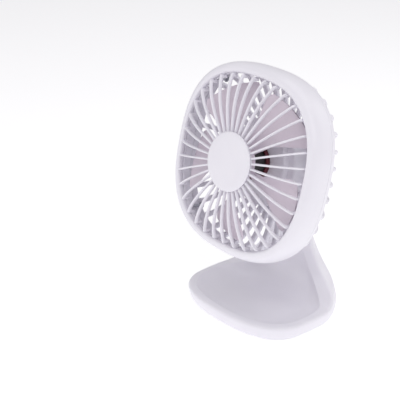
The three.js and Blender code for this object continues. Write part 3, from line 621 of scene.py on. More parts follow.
def at_spline(points: list[Pair], t: float, closed: bool = False) -> Pair:
    """One point on the centripetal line through others.

    Args:
        points: places that the line passes.
        t: 0 to 1 along it, with equal shares for each span.
        closed: whether the line meets its start.

    Returns:
        The point.
    """
    total = len(points)
    where = t * (total if closed else total - 1)
    k = min(int(where), total - (1 if closed else 2))
    u = where - k

    def at(i: int) -> Vector:
        """A place on the line, or one carried on past its end."""
        if closed:
            return Vector(points[i % total])
        if i < 0:
            return Vector(points[0]) * 2 - Vector(points[1])
        if i >= total:
            return Vector(points[-1]) * 2 - Vector(points[-2])
        return Vector(points[i])

    a, b, c, d = at(k - 1), at(k), at(k + 1), at(k + 2)
    s0, s1, s2 = (max((q - p).length ** 0.5, 1e-6) for p, q in ((a, b), (b, c), (c, d)))
    m1 = ((b - a) / s0 - (c - a) / (s0 + s1) + (c - b) / s1) * s1
    m2 = ((c - b) / s1 - (d - b) / (s1 + s2) + (d - c) / s2) * s1
    point = b + m1 * u + (b * -3 + c * 3 - m1 * 2 - m2) * u**2 + (b * 2 - c * 2 + m1 + m2) * u**3
    return point.x, point.y


@dataclass
class Piece:
    """One visible piece on its way from a form to an object in place."""

    name: str
    body: Body
    slot: Slot
    replaces: tuple[str, ...] = ()
    matrix: Matrix = field(default_factory=lambda: HEAD_FRAME.copy())
    bevel: float = 0.0
    bevel_angle: float = 35.0
    smooth: int = 0
    cut: Form | None = None
    sharp: float = 38.0

    def make(self, shape: Form | bpy.types.Mesh) -> bpy.types.Object:
        """Finishes the mesh, sets it in place and lets it ride on its body.

        Args:
            shape: the piece's form, or a mesh in millimetres.

        Returns:
            The finished object.
        """
        mesh = shape.mesh(self.name) if isinstance(shape, Form) else shape
        item = bpy.data.objects.new(self.name, mesh)
        bpy.context.scene.collection.objects.link(item)
        item.data = self._worked(item)
        item.modifiers.clear()
        clean(item.data)
        item.data.transform(self.matrix)
        item.data.name = self.name
        item.data.shade_smooth()
        item.data.set_sharp_from_angle(angle=math.radians(self.sharp))
        item.data.materials.clear()
        item.data.materials.append(Palette.material(self.slot))
        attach(item, self.body.value)
        if self.replaces:
            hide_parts(*self.replaces)
        log.info("%s: %d faces", self.name, len(item.data.polygons))
        return item

    def _worked(self, item: bpy.types.Object) -> bpy.types.Mesh:
        """Applies the cut, the rounded edges and the subdivision.

        Args:
            item: the object that holds the raw mesh.

        Returns:
            The worked mesh.
        """
        cutter = None
        if self.cut:
            cutter = bpy.data.objects.new("cutter", self.cut.mesh("cutter"))
            bpy.context.scene.collection.objects.link(cutter)
            hole = item.modifiers.new("hole", "BOOLEAN")
            hole.operation = "DIFFERENCE"
            hole.solver = "EXACT"
            hole.use_self = True
            hole.object = cutter
        if self.bevel:
            edge = item.modifiers.new("edge", "BEVEL")
            edge.width = self.bevel
            edge.segments = 3
            edge.limit_method = "ANGLE"
            edge.angle_limit = math.radians(self.bevel_angle)
        if self.smooth:
            round_off = item.modifiers.new("smooth", "SUBSURF")
            round_off.levels = self.smooth
            round_off.render_levels = self.smooth
        made = evaluated(item)
        if cutter:
            bpy.data.objects.remove(cutter)
        return made


# ---------------------------------------------------------------- finishes
def tint(code: int) -> tuple[float, float, float, float]:
    """A linear colour from a 0xRRGGBB screen colour."""
    parts = [(code >> shift & 255) / 255 for shift in (16, 8, 0)]
    linear = [p / 12.92 if p <= 0.04045 else ((p + 0.055) / 1.055) ** 2.4 for p in parts]
    return (*linear, 1.0)


@dataclass(frozen=True)
class Moulded:
    """Moulded plastic or rubber: a fine surface grain and faint clouds in the colour and gloss."""

    colour: int
    shade: int
    roughness: float = 0.36
    grain_per_m: float = 1900.0
    grain_depth: float = 0.00002
    clouds_per_m: float = 42.0
    coat: float = 0.0
    coat_roughness: float = 0.12
    ior: float = 1.49
    scuffs_per_m: float = 310.0
    scuffs_from: float = 0.55
    scuffs_share: float = 0.35
    cloud_gloss: float = 0.12
    grain_gloss: float = 0.06

    def make(self, name: str) -> bpy.types.Material:
        """Builds the material.

        Args:
            name: the material's name.

        Returns:
            The material.
        """
        board = SurfaceBoard(name)
        clouds = board.noise(self.clouds_per_m, 3.0)
        grain = board.noise(self.grain_per_m, 2.0)
        scuffed = board.noise(self.scuffs_per_m, 4.0) - self.scuffs_from
        gloss = (clouds - 0.5) * self.cloud_gloss + (grain - 0.5) * self.grain_gloss
        sockets = {
            "Base Color": board.blend(clouds, tint(self.colour), tint(self.shade)),
            "Roughness": self.roughness + gloss + scuffed.unit() * self.scuffs_share,
            "Normal": board.relief(grain, self.grain_depth),
            "IOR": self.ior,
            "Coat Roughness": self.coat_roughness,
            "Coat Weight": self.coat,
        }
        return board.surface(sockets)


@dataclass(frozen=True)
class Metal:
    """Drawn or pressed metal: fine streaks along one axis and cloudy gloss."""

    colour: int
    shade: int
    roughness: float = 0.3
    streak: Triple = (0.02, 0.0006, 0.0006)

    def make(self, name: str) -> bpy.types.Material:
        """Builds the material.

        Args:
            name: the material's name.

        Returns:
            The material.
        """
        board = SurfaceBoard(name)
        streaks = board.noise(1.0, 3.0, board.stretched(self.streak))
        clouds = board.noise(90.0, 3.0)
        sockets = {
            "Base Color": board.blend(clouds, tint(self.colour), tint(self.shade)),
            "Metallic": 1.0,
            "Roughness": self.roughness + (streaks - 0.5) * 0.3 + (clouds - 0.5) * 0.12,
            "Normal": board.relief(streaks, 0.00002),
        }
        return board.surface(sockets)


@dataclass(frozen=True)
class Wound:
    """Enamelled copper wire wound in even turns along the motor's axis, with painted shade: a darker
    copper in the grooves between the turns.
    """

    colour: int
    # shade is the darker copper painted into the grooves between turns as painted shade
    shade: int
    turns_per_m: float = 1900.0

    def make(self, name: str) -> bpy.types.Material:
        """Builds the material.

        Args:
            name: the material's name.

        Returns:
            The material.
        """
        board = SurfaceBoard(name)
        place = board.stretched((1.0, 1.0, 1.0), (-HEAD_TILT, 0.0, 0.0))
        along = board.node("ShaderNodeSeparateXYZ", {}, {0: place}, "Y")
        # ridge is 0 in the grooves between turns, where the painted shade goes, and 1 on the crests
        ridge = abs((along * self.turns_per_m * math.pi).sin())
        clouds = board.noise(260.0, 2.0)
        sockets = {
            # painted shade: the grooves between turns take the dark copper, and the crests take the
            # bright copper
            "Base Color": board.blend(ridge, tint(self.shade), tint(self.colour)),
            "Metallic": 0.9,
            "Roughness": 0.26 + clouds * 0.16,
            "Normal": board.relief(ridge, 0.00016),
        }
        return board.surface(sockets)


@dataclass(frozen=True)
class Foil:
    """Crinkled silver pouch of a flat cell."""

    colour: int
    shade: int

    def make(self, name: str) -> bpy.types.Material:
        """Builds the material.

        Args:
            name: the material's name.

        Returns:
            The material.
        """
        board = SurfaceBoard(name)
        crinkle = board.noise(320.0, 5.0)
        settings = {"feature": "F1", "distance": "EUCLIDEAN"}
        facets = board.node("ShaderNodeTexVoronoi", settings, {"Vector": board.place(), "Scale": 240.0})
        sockets = {
            "Base Color": board.blend(crinkle, tint(self.colour), tint(self.shade)),
            "Metallic": 0.8,
            "Roughness": 0.28 + crinkle * 0.2,
            "Normal": board.relief(crinkle * 0.6 + facets * 0.4, 0.0004),
        }
        return board.surface(sockets)


@dataclass(frozen=True)
class Laminate:
    """Circuit board: solder mask over a maze of tracks, with tinned pads."""

    mask: int
    track: int
    pad: int

    def make(self, name: str) -> bpy.types.Material:
        """Builds the material.

        Args:
            name: the material's name.

        Returns:
            The material.
        """
        board = SurfaceBoard(name)
        place = board.place()
        lines = {"Vector": place, "Scale": 420.0, "Randomness": 0.35}
        settings = {"feature": "DISTANCE_TO_EDGE"}
        tracks = board.node("ShaderNodeTexVoronoi", settings, lines) < 0.16
        dots = {"Vector": place, "Scale": 300.0, "Randomness": 0.15}
        pads = board.node("ShaderNodeTexVoronoi", {"feature": "F1"}, dots) < 0.2
        masked = board.blend(tracks, tint(self.mask), tint(self.track))
        sockets = {
            "Base Color": board.blend(pads, masked, tint(self.pad)),
            "Metallic": pads * 0.9,
            "Roughness": 0.42 - pads * 0.14,
            "Normal": board.relief(tracks * 0.5 + pads, 0.00006),
        }
        return board.surface(sockets)


@dataclass(frozen=True)
class Clear:
    """Milky clear plastic of the light window."""

    colour: int
    shade: int
    roughness: float = 0.14

    def make(self, name: str) -> bpy.types.Material:
        """Builds the material.

        Args:
            name: the material's name.

        Returns:
            The material.
        """
        board = SurfaceBoard(name)
        clouds = board.noise(400.0, 2.0)
        sockets = {
            "Base Color": board.blend(clouds, tint(self.colour), tint(self.shade)),
            "Roughness": self.roughness + clouds * 0.08,
            "Normal": board.relief(clouds, 0.00003),
            "Transmission Weight": 0.45,
            "IOR": 1.5,
        }
        return board.surface(sockets)


class Palette:
    """The fan's finishes, each built once."""

    finishes: dict[Slot, object] = {
        Slot.SHELL: Moulded(0xF5F3F9, 0xEFEDF5, 0.34, coat=0.12),
        Slot.INNER: Moulded(0xE6E4EC, 0xDEDCE6, 0.45),
        Slot.BLADE: Moulded(0xE4D9E2, 0xDACFDB, 0.3, coat=0.1),
        Slot.BUTTON: Moulded(0xE2E2E8, 0xD6D6DE, 0.3),
        Slot.RUBBER: Moulded(0x8E9096, 0x7E8086, 0.86, 1400.0, 0.0001),
        Slot.BLACK: Moulded(0x26262A, 0x1C1C20, 0.5),
        Slot.MOTOR: Moulded(0x2E292C, 0x221E21, 0.34, 1500.0, 0.00003),
        Slot.MAGNET: Moulded(0x3C3C41, 0x2C2C31, 0.72, 1200.0, 0.00006),
        Slot.RED: Moulded(0x641D2A, 0x4E1620, 0.5),
        Slot.STEEL: Metal(0xC4C6CB, 0xA4A6AC),
        Slot.BRASS: Metal(0xD0AA62, 0xB08A44, 0.3),
        Slot.COPPER: Wound(0xC4683E, 0x5A2416),
        Slot.CELL: Foil(0xC3CBD6, 0x9AA4B2),
        Slot.BOARD: Laminate(0x1F6B45, 0x338A5C, 0xC8CCCE),
        Slot.LENS: Clear(0xEAF0F6, 0xDCE4EE),
    }
    built: dict[Slot, bpy.types.Material] = {}

    @classmethod
    def material(cls, slot: Slot) -> bpy.types.Material:
        """The material of a slot, built when it is first asked for."""
        if slot not in cls.built:
            cls.built[slot] = cls.finishes[slot].make(slot.value)
        return cls.built[slot]


# ---------------------------------------------------------------- ribs
@dataclass(frozen=True)
class RibSection:
    """The parts of a rib's formula that both grilles share, as values in a tree."""

    share: Wire
    angle: Wire
    square: Wire
    across: Wire
    inwards: Wire


@dataclass
class RibSet:
    """Radial ribs, evenly round the head, each a rounded bar that follows a rule."""

    count: int = 36
    phase: float = 1.7
    width: float = 1.9
    depth: float = 3.0
    stations: int = 30
    around: int = 13
    edge_power: float = 0.62
    taper: float = 0.15

    def bars(self, board: FormBoard) -> tuple[Wire, RibSection]:
        """Lays out one grid of points for each rib, and the values that every rib is drawn from.

        Args:
            board: the tree.

        Returns:
            The grids, and the values.
        """
        count = board.count("Ribs", self.count)
        stations = board.count("Stations", self.stations)
        around = board.count("Around", self.around)
        width = board.number("Width", self.width)
        depth = board.number("Depth", self.depth)
        phase = board.number("First rib", math.radians(self.phase))
        power = board.number("Corner power", CORNER_POWER)
        grid_sockets = {"Size X": 1.0, "Size Y": 1.0, "Vertices X": stations, "Vertices Y": around}
        grid = board.node("GeometryNodeMeshGrid", {}, grid_sockets)
        place = board.node("GeometryNodeInputPosition")
        x = board.node("ShaderNodeSeparateXYZ", {}, {0: place}, "X")
        y = board.node("ShaderNodeSeparateXYZ", {}, {0: place}, "Y")
        grid = board.stored(grid, "station", x + 0.5)
        grid = board.stored(grid, "round", (y + 0.5) * TAU)
        line = board.node("GeometryNodeMeshLine", {}, {"Count": count})
        number = board.node("GeometryNodeInputIndex")
        line = board.stored(line, "rib", number + 0.0)
        bars = board.node("GeometryNodeInstanceOnPoints", {}, {"Points": line, "Instance": grid})
        bars = board.node("GeometryNodeRealizeInstances", {}, {"Geometry": bars})
        step = board.recalled("station") * (stations - 1.0)
        full = (step > 0.5) * (step < stations - 1.5)
        angle = phase + board.recalled("rib") * TAU / count
        turn = board.recalled("round")
        side = turn.cos().sign() * abs(turn.cos()) ** self.edge_power
        fall = turn.sin().sign() * abs(turn.sin()) ** self.edge_power
        reach = abs(angle.cos()) ** power + abs(angle.sin()) ** power
        return bars, RibSection(
            share=((step - 1.0) / (stations - 3.0)).unit(),
            angle=angle,
            square=reach ** (-1.0 / power),
            across=full * side * (1.0 - self.taper + fall * self.taper) * width / 2.0,
            inwards=depth * (0.5 + full * fall * 0.5),
        )

    def placed(
        self, board: FormBoard, bars: Wire, section: RibSection, line: tuple[Wire, Wire, Wire, Wire]
    ) -> Wire:
        """Draws every rib along its line.

        Args:
            board: the tree.
            bars: the grids.
            section: the ribs' values.
            line: radius and depth of the outer edge, and the same of the unit direction inwards.

        Returns:
            The drawn ribs, merged at their seams and ends.
        """
        radius, y, inward_radius, inward_y = line
        r = radius + inward_radius * section.inwards
        x = r * section.angle.cos() - section.across * section.angle.sin()
        z = r * section.angle.sin() + section.across * section.angle.cos()
        place = board.vector(x, y + inward_y * section.inwards, z)
        drawn = board.node("GeometryNodeSetPosition", {}, {"Geometry": bars, "Position": place})
        sockets = {"Geometry": drawn, "Distance": 0.001}
        return board.node("GeometryNodeMergeByDistance", {}, sockets)


@dataclass
class FrontRibs(RibSet):
    """Ribs of the front grille: out of the badge, over the dome, and down behind the lip."""

    inner: float = 20.0
    limit: float = 64.55
    rise: float = 8.8
    edge: float = 1.6
    corner: float = 2.6
    foot: float = 4.7

    def mesh(self) -> bpy.types.Mesh:
        """The ribs as one mesh, in millimetres."""
        board = FormBoard("front_ribs")
        bars, section = self.bars(board)
        inner = board.number("Inner radius", self.inner)
        rise = board.number("Dome rise", self.rise)
        edge = board.number("Edge rise", self.edge)
        corner = board.number("Corner radius", self.corner)
        run = board.number("Opening", self.limit) * section.square - inner
        crest = (section.share / 0.7).unit()
        bend = ((section.share - 0.7) / 0.22).unit()
        drop = ((section.share - 0.92) / 0.08).unit()
        end_slope = (rise * 3.0 / run).arctan()
        turn = end_slope + bend * (math.pi / 2 - end_slope)
        start = 1.0 - corner * (1.0 - end_slope.sin()) / run
        share = crest * start
        slope = (rise * 3.0 * share * share / run).arctan()
        on_bend = bend > 0.0
        lean = slope + on_bend * (turn - slope)
        radius = inner + run * share + on_bend * corner * (turn.sin() - end_slope.sin())
        height = on_bend * corner * (end_slope.cos() - turn.cos()) - edge - rise * (1.0 - share**3.0)
        depth = height + drop * (self.foot - height)
        ribs = self.placed(board, bars, section, (radius, depth, -lean.sin(), lean.cos()))
        board.finish(ribs, Palette.material(Slot.SHELL))
        return board.mesh([(0.0, 0.0, 0.0)])


@dataclass
class RearRibs(RibSet):
    """Ribs of the rear grille: from the band at the seam round to the pod."""

    width: float = 4.4
    depth: float = 5.0
    line: tuple[Pair, Pair, Pair, Pair] = ((71.6, 22.4), (72.0, 33.5), (57.0, 39.0), (33.0, 45.0))
    pod_radius: float = 34.0
    square_from: float = 66.0

    def mesh(self) -> bpy.types.Mesh:
        """The ribs as one mesh, in millimetres."""
        board = FormBoard("rear_ribs")
        bars, section = self.bars(board)
        pod = board.number("Pod radius", self.pod_radius)
        full = board.number("Square from", self.square_from)
        half = self._bezier(board, "Reach", section.share, 0)
        y = self._bezier(board, "Depth at", section.share, 1)
        half_step, y_step = half[1], y[1]
        length = (half_step * half_step + y_step * y_step) ** 0.5
        square = ((half[0] - pod) / (full - pod)).unit()
        radius = half[0] * (1.0 + (section.square - 1.0) * square)
        line = (radius, y[0], -y_step / length, half_step / length)
        board.finish(self.placed(board, bars, section, line), Palette.material(Slot.SHELL))
        return board.mesh([(0.0, 0.0, 0.0)])

    def _bezier(self, board: FormBoard, name: str, t: Wire, axis: int) -> tuple[Wire, Wire]:
        """One coordinate of the ribs' line and its rate.

        Args:
            board: the tree.
            name: what the four handles' inputs are called.
            t: the share along the line.
            axis: 0 for the half-width and 1 for the depth.

        Returns:
            The coordinate and its rate of change.
        """
        a, b, c, d = (board.number(f"{name} {i + 1}", p[axis]) for i, p in enumerate(self.line))
        left = 1.0 - t
        value = left**3.0 * a + left**2.0 * t * b * 3.0 + left * t**2.0 * c * 3.0 + t**3.0 * d
        rate = left**2.0 * (b - a) + left * t * (c - b) * 2.0 + t**2.0 * (d - c)
        return value, rate


# ---------------------------------------------------------------- head
@dataclass
class FrontCage:
    """The bezel, the front ribs with their rim, and the plain round badge."""

    opening: float = 65.0
    half: float = 73.6
    seam: float = 18.0
    lip_back: float = 3.4
    badge_radius: float = 22.5
    plate_back: float = -7.4
    ribs: FrontRibs = field(default_factory=FrontRibs)

    def build(self) -> None:
        """Makes the three pieces."""
        head = {"body": Body.HEAD, "slot": Slot.SHELL}
        Piece("bezel", replaces=("front_shell",), bevel=0.3, **head).make(self.bezel())
        rim = self.rim().add(self.plate())
        Piece("front_rim", replaces=("front_grille",), bevel=0.2, **head).make(rim)
        Piece("front_ribs", replaces=("front_grille",), sharp=60.0, **head).make(self.ribs.mesh())
        Piece("badge", replaces=("front_badge",), **head).make(self.badge())

    def bezel(self) -> Form:
        """The rounded-square shell from the opening's lip to the seam."""
        outer = [
            (self.opening, 0.8),
            (self.opening + 0.7, -0.15),
            (self.opening + 2.6, -0.5),
            (self.half - 3.7, 0.4),
            (self.half - 1.8, 2.6),
            (self.half - 0.5, 6.4),
            (self.half, 12.0),
            (self.half - 0.2, self.seam - GAP),
        ]
        inner = [
            (self.half - 0.2 - WALL, self.seam - GAP),
            (self.half - WALL, 12.0),
            (self.half - 0.6 - WALL, 6.8),
            (self.half - 1.6 - WALL, self.lip_back + 1.0),
            (self.opening + 4.2, self.lip_back),
            (self.opening, self.lip_back),
        ]
        return square_loop([*spline(outer, 34), *inner])

    def rim(self) -> Form:
        """The ribs' rim behind the lip."""
        y = self.lip_back + GAP
        low, high = self.opening - 0.6, self.opening + 3.8
        return square_loop([(low, y), (high, y), (high, y + 1.8), (low, y + 1.8)])

    def plate(self) -> Form:
        """The disc behind the badge where the ribs meet."""
        back, front = self.plate_back, self.plate_back - 2.0
        return turned([(3.2, front), (21.0, front), (21.0, back), (3.2, back)])

    def badge(self) -> Form:
        """The crowned badge with its peg."""
        back = self.plate_back - 3.0 - GAP
        front = back - 1.6
        r = self.badge_radius
        crown = [(0.0, -0.7), (10.0, -0.55), (r - 4.0, -0.1), (r - 1.4, 0.2)]
        face = spline([(half, front + y) for half, y in crown], 14)
        edge = spline([(r - 1.4, front + 0.2), (r - 0.5, front + 0.5), (r, front + 1.1)], 8)
        peg = [(r, back), (2.8, back), (2.8, self.plate_back), (0.0, self.plate_back)]
        return turned([*face, *edge[1:], *peg], 120)


@dataclass
class RearCage:
    """The band at the seam, the rear ribs, the pod with its cover, and the hinge arm."""

    half: float = 73.6
    seam: float = 18.0
    front: float = 19.5
    nose: float = 28.5
    radius: float = 34.0
    rear: float = 56.0
    bore: float = 12.7
    cover: float = 4.0
    knuckle: float = 6.0
    knuckle_half: float = 8.0
    hinge: Pair = (55.0, -42.0)
    screw_radius: float = 29.2
    screw_angles: tuple[float, ...] = (30.0, 150.0, 270.0)
    button: Pair = (7.0, 11.0)
    lens: Triple = (6.0, -2.0, 0.8)
    port: Triple = (4.5, -13.0, 1.65)
    ribs: RearRibs = field(default_factory=RearRibs)

    def build(self) -> None:
        """Makes the frame, the ribs and the cover."""
        head = {"body": Body.HEAD, "slot": Slot.SHELL}
        stands_for = ("rear_grille",)
        Piece("rear_band", replaces=stands_for, bevel=0.35, **head).make(self.band())
        Piece("rear_ribs", replaces=stands_for, sharp=60.0, **head).make(self.ribs.mesh())
        Piece("pod", replaces=stands_for, bevel=0.4, **head).make(self.pod())
        pin_hole = along_x(rod(2.8, -20.0, 20.0), *self.hinge)
        arm = Piece("hinge_arm", replaces=stands_for, bevel=0.5, cut=pin_hole, **head)
        arm.make(self.arm())
        knuckle = Piece("hinge_knuckle", replaces=stands_for, bevel=0.4, **head)
        knuckle.make(self.knuckle_ring())
        cover = Piece("cover", replaces=("pod_cover",), bevel=0.22, cut=self.openings(), **head)
        cover.make(self.cover_disc())

    def band(self) -> Form:
        """The band that meets the bezel at the seam."""
        profile = [
            (self.half - 0.3, self.seam),
            (self.half - 0.6, 19.6),
            (self.half - 1.1, 21.4),
            (self.half - 1.9, 23.2),
            (self.half - 1.9 - WALL, 23.2),
            (self.half - 0.3 - WALL, self.seam),
        ]
        return square_loop(profile)

    def pod(self) -> Form:
        """The nose round the motor, the step out to the drum, and the tube that grips the motor."""
        f, n, r = self.front, self.nose, self.radius
        section = [
            (self.bore, f),
            (n - 0.9, f),
            (n, f + 0.9),
            (n, f + 4.6),
            (r - 1.0, f + 5.2),
            (r, f + 6.4),
            (r, self.rear - GAP),
            (r - WALL, self.rear - GAP),
            (r - WALL, f + 7.6),
            (n - WALL, f + 7.0),
            (n - WALL, f + 2.4),
            (self.bore + 2.7, f + 2.4),
            (self.bore + 2.7, f + 6.0),
            (self.bore, f + 6.0),
        ]
        return turned(section, 108)

    def arm(self) -> Form:
        """The arm under the pod, as wide as the knuckle."""
        y, z = self.hinge
        section = [
            (y - 5.0, z - 2.0),
            (y + 3.0, z),
            (self.rear - GAP, z + self.knuckle + 1.0),
            (self.rear - GAP, 3.0 - self.radius),
            (y - 9.0, 3.0 - self.radius),
        ]
        w = self.knuckle_half
        return loft([[Vector((x, a, b)) for a, b in section] for x in (-w, w)])

    def knuckle_ring(self) -> Form:
        """The knuckle with its hole for the pin."""
        r, w = self.knuckle, self.knuckle_half
        return along_x(turned([(2.8, -w), (r, -w), (r, w), (2.8, w)]), *self.hinge)

    def screw_places(self) -> list[Pair]:
        """Centres of the cover's screws."""
        r = self.screw_radius
        turns = [math.radians(a) for a in self.screw_angles]
        return [(r * math.cos(a), r * math.sin(a)) for a in turns]

    def cover_disc(self) -> Form:
        """The cover before its openings."""
        y, r = self.rear, self.radius
        edge = [(0.0, 1.8), (0.6, 3.1), (2.0, 3.9), (3.4, self.cover)]
        crown = spline([(r - inset, y + rise) for inset, rise in edge], 12)
        return turned([(0.0, y), (r, y), *crown, (0.0, y + self.cover)], 120)

    def openings(self) -> Form:
        """Everything that is cut from the cover."""
        radius, button_z = self.button
        cuts = rod(radius + GAP, 40.0, 70.0, 0.0, button_z, 72)
        for half, z, rise in (self.lens, self.port):
            x, h = half + GAP, rise + GAP
            cuts.add(slab((-x, 40.0, z - h), (x, 70.0, z + h)))
        for x, z in self.screw_places():
            cuts.add(rod(2.9, self.rear + 2.0, 70.0, x, z))
        return cuts


@dataclass
class Impeller:
    """Five broad twisted blades on a cup-shaped hub."""

    blades: int = 5
    tip: float = 60.0
    gap: float = 11.0
    root: float = 15.0
    sweep: float = 2.0
    phase: float = 38.0
    thick: float = 1.5
    depth: float = 14.0
    hub: float = 14.5
    front: float = -4.6
    back: float = 3.0
    root_depth: float = 6.0
    edge_sweep: float = 5.2
    camber: float = 1.4
    tip_from: float = 0.8
    tip_narrow: float = 0.16
    rows: int = 26
    chord: int = 22

    def build(self) -> None:
        """Makes the impeller's blades and hub on the rotor."""
        form = Form()
        for i in range(self.blades):
            form.add(self.blade(math.radians(self.phase + 360.0 * i / self.blades)))
        rotor = {"body": Body.ROTOR, "slot": Slot.BLADE}
        Piece("blades", replaces=("impeller",), sharp=50.0, **rotor).make(form)
        Piece("hub", replaces=("impeller",), bevel=0.3, **rotor).make(self.cup())

    def blade(self, phase: float) -> Form:
        """One blade, cambered and twisted, with a rounded tip.

        Args:
            phase: the blade's angle, in radians.

        Returns:
            The closed form.
        """
        rings = []
        for row in range(self.rows):
            share = row / (self.rows - 1)
            r = self.hub - 1.0 + (self.tip - self.hub + 1.0) * share
            late = max(0.0, (share - self.tip_from) / (1.0 - self.tip_from))
            wide = math.pi / self.blades - math.asin(self.gap / max(r, self.gap * 1.02))
            half = max(wide, math.radians(self.root)) * (1.0 - self.tip_narrow * late**3)
            middle = phase + math.radians(self.sweep) * share * share
            front = self.front + 1.0 + self.edge_sweep * share * share
            deepening = (self.depth - self.root_depth) * min(1.0, share * 1.25)
            depth = self.root_depth + deepening
            ring = []
            for k in range(self.chord):
                around = TAU * k / self.chord
                u = math.cos(around)
                angle = middle + half * u
                wall = self.thick / 2 * (1.0 - 0.4 * u * u) * math.sin(around)
                y = front + depth * (1.0 + u) / 2 + self.camber * (1.0 - u * u) + wall
                ring.append(Vector((r * math.sin(angle), y, r * math.cos(angle))))
            rings.append(ring)
        return loft(rings)

    def cup(self) -> Form:
        """The hub, open at the back."""
        r, inside = self.hub, self.hub - 1.8
        profile = [
            (0.0, self.front),
            (r - 2.5, self.front),
            (r - 1.2, self.front + 0.3),
            (r, self.front + 1.8),
            (r, self.back),
            (inside, self.back),
            (inside, self.front + 2.4),
            (3.2, self.front + 2.4),
            (3.2, self.back - 1.0),
            (1.3, self.back - 1.0),
            (1.3, self.front + 1.4),
            (0.0, self.front + 1.4),
        ]
        return turned(profile, 84)


@dataclass
class Motor:
    """The can that shows behind the hub, its vents, and the sleeve at the pod."""

    radius: float = 12.4
    front: float = 4.4
    length: float = 26.0
    pod_front: float = 19.5

    def build(self) -> None:
        """Makes the can and the sleeve."""
        can = Piece("motor_body", Body.HEAD, Slot.MOTOR, ("motor_can",), bevel=0.2, cut=self.vents())
        can.make(self.can())
        sleeve = Piece("motor_band", Body.HEAD, Slot.RED, ("motor_sleeve",), bevel=0.25)
        sleeve.make(self.sleeve())

    def can(self) -> Form:
        """The drawn can with a rolled shoulder and a crimp near the back."""
        f, r, back = self.front, self.radius, self.front + self.length
        profile = [
            (2.6, f),
            (r - 1.6, f),
            (r - 0.5, f + 0.4),
            (r, f + 1.4),
            (r, back - 4.0),
            (r - 0.35, back - 3.6),
            (r - 0.35, back - 3.0),
            (r, back - 2.6),
            (r, back),
            (r - 0.9, back),
            (r - 0.9, f + 1.6),
            (2.6, f + 1.4),
        ]
        return turned(profile, 84)

    def vents(self) -> Form:
        """Four slots in the can's front face."""
        cuts = Form()
        for i in range(4):
            slot = slab((5.0, self.front - 1.0, -1.3), (9.4, self.front + 4.0, 1.3))
            cuts.add(slot.moved(Matrix.Rotation(TAU * (i + 0.5) / 4, 4, "Y")))
        return cuts

    def sleeve(self) -> Form:
        """The band round the can in front of the pod."""
        y0, y1 = self.pod_front - 4.0, self.pod_front - GAP
        r0, r1 = self.radius + GAP, self.radius + 1.5
        return turned([(r0, y0), (r1, y0), (r1, y1), (r0, y1)], 84)


@dataclass
class PowerButton:
    """The sprung button in the pod's cover."""

    radius: float = 7.0
    z: float = 11.0
    foot: float = 52.7
    rear: float = 56.0
    proud: float = 5.6

    def build(self) -> None:
        """Makes the button."""
        r, back = self.radius, self.rear + self.proud
        crown = [(r, 1.1), (r - 0.4, 0.3), (r - 1.4, 0.0), (3.0, 0.35), (0.0, 0.5)]
        face = spline([(half, back - fall) for half, fall in crown], 18)
        profile = [
            (0.0, self.foot),
            (2.4, self.foot),
            (2.4, self.foot + 0.8),
            (r + 1.2, self.foot + 0.8),
            (r + 1.2, self.rear - GAP),
            (r, self.rear - GAP),
            *face,
        ]
        form = turned(profile, 84).moved(Matrix.Translation((0, 0, self.z)))
        Piece("button_cap", Body.BUTTON, Slot.BUTTON, ("power_button",), bevel=0.15).make(form)


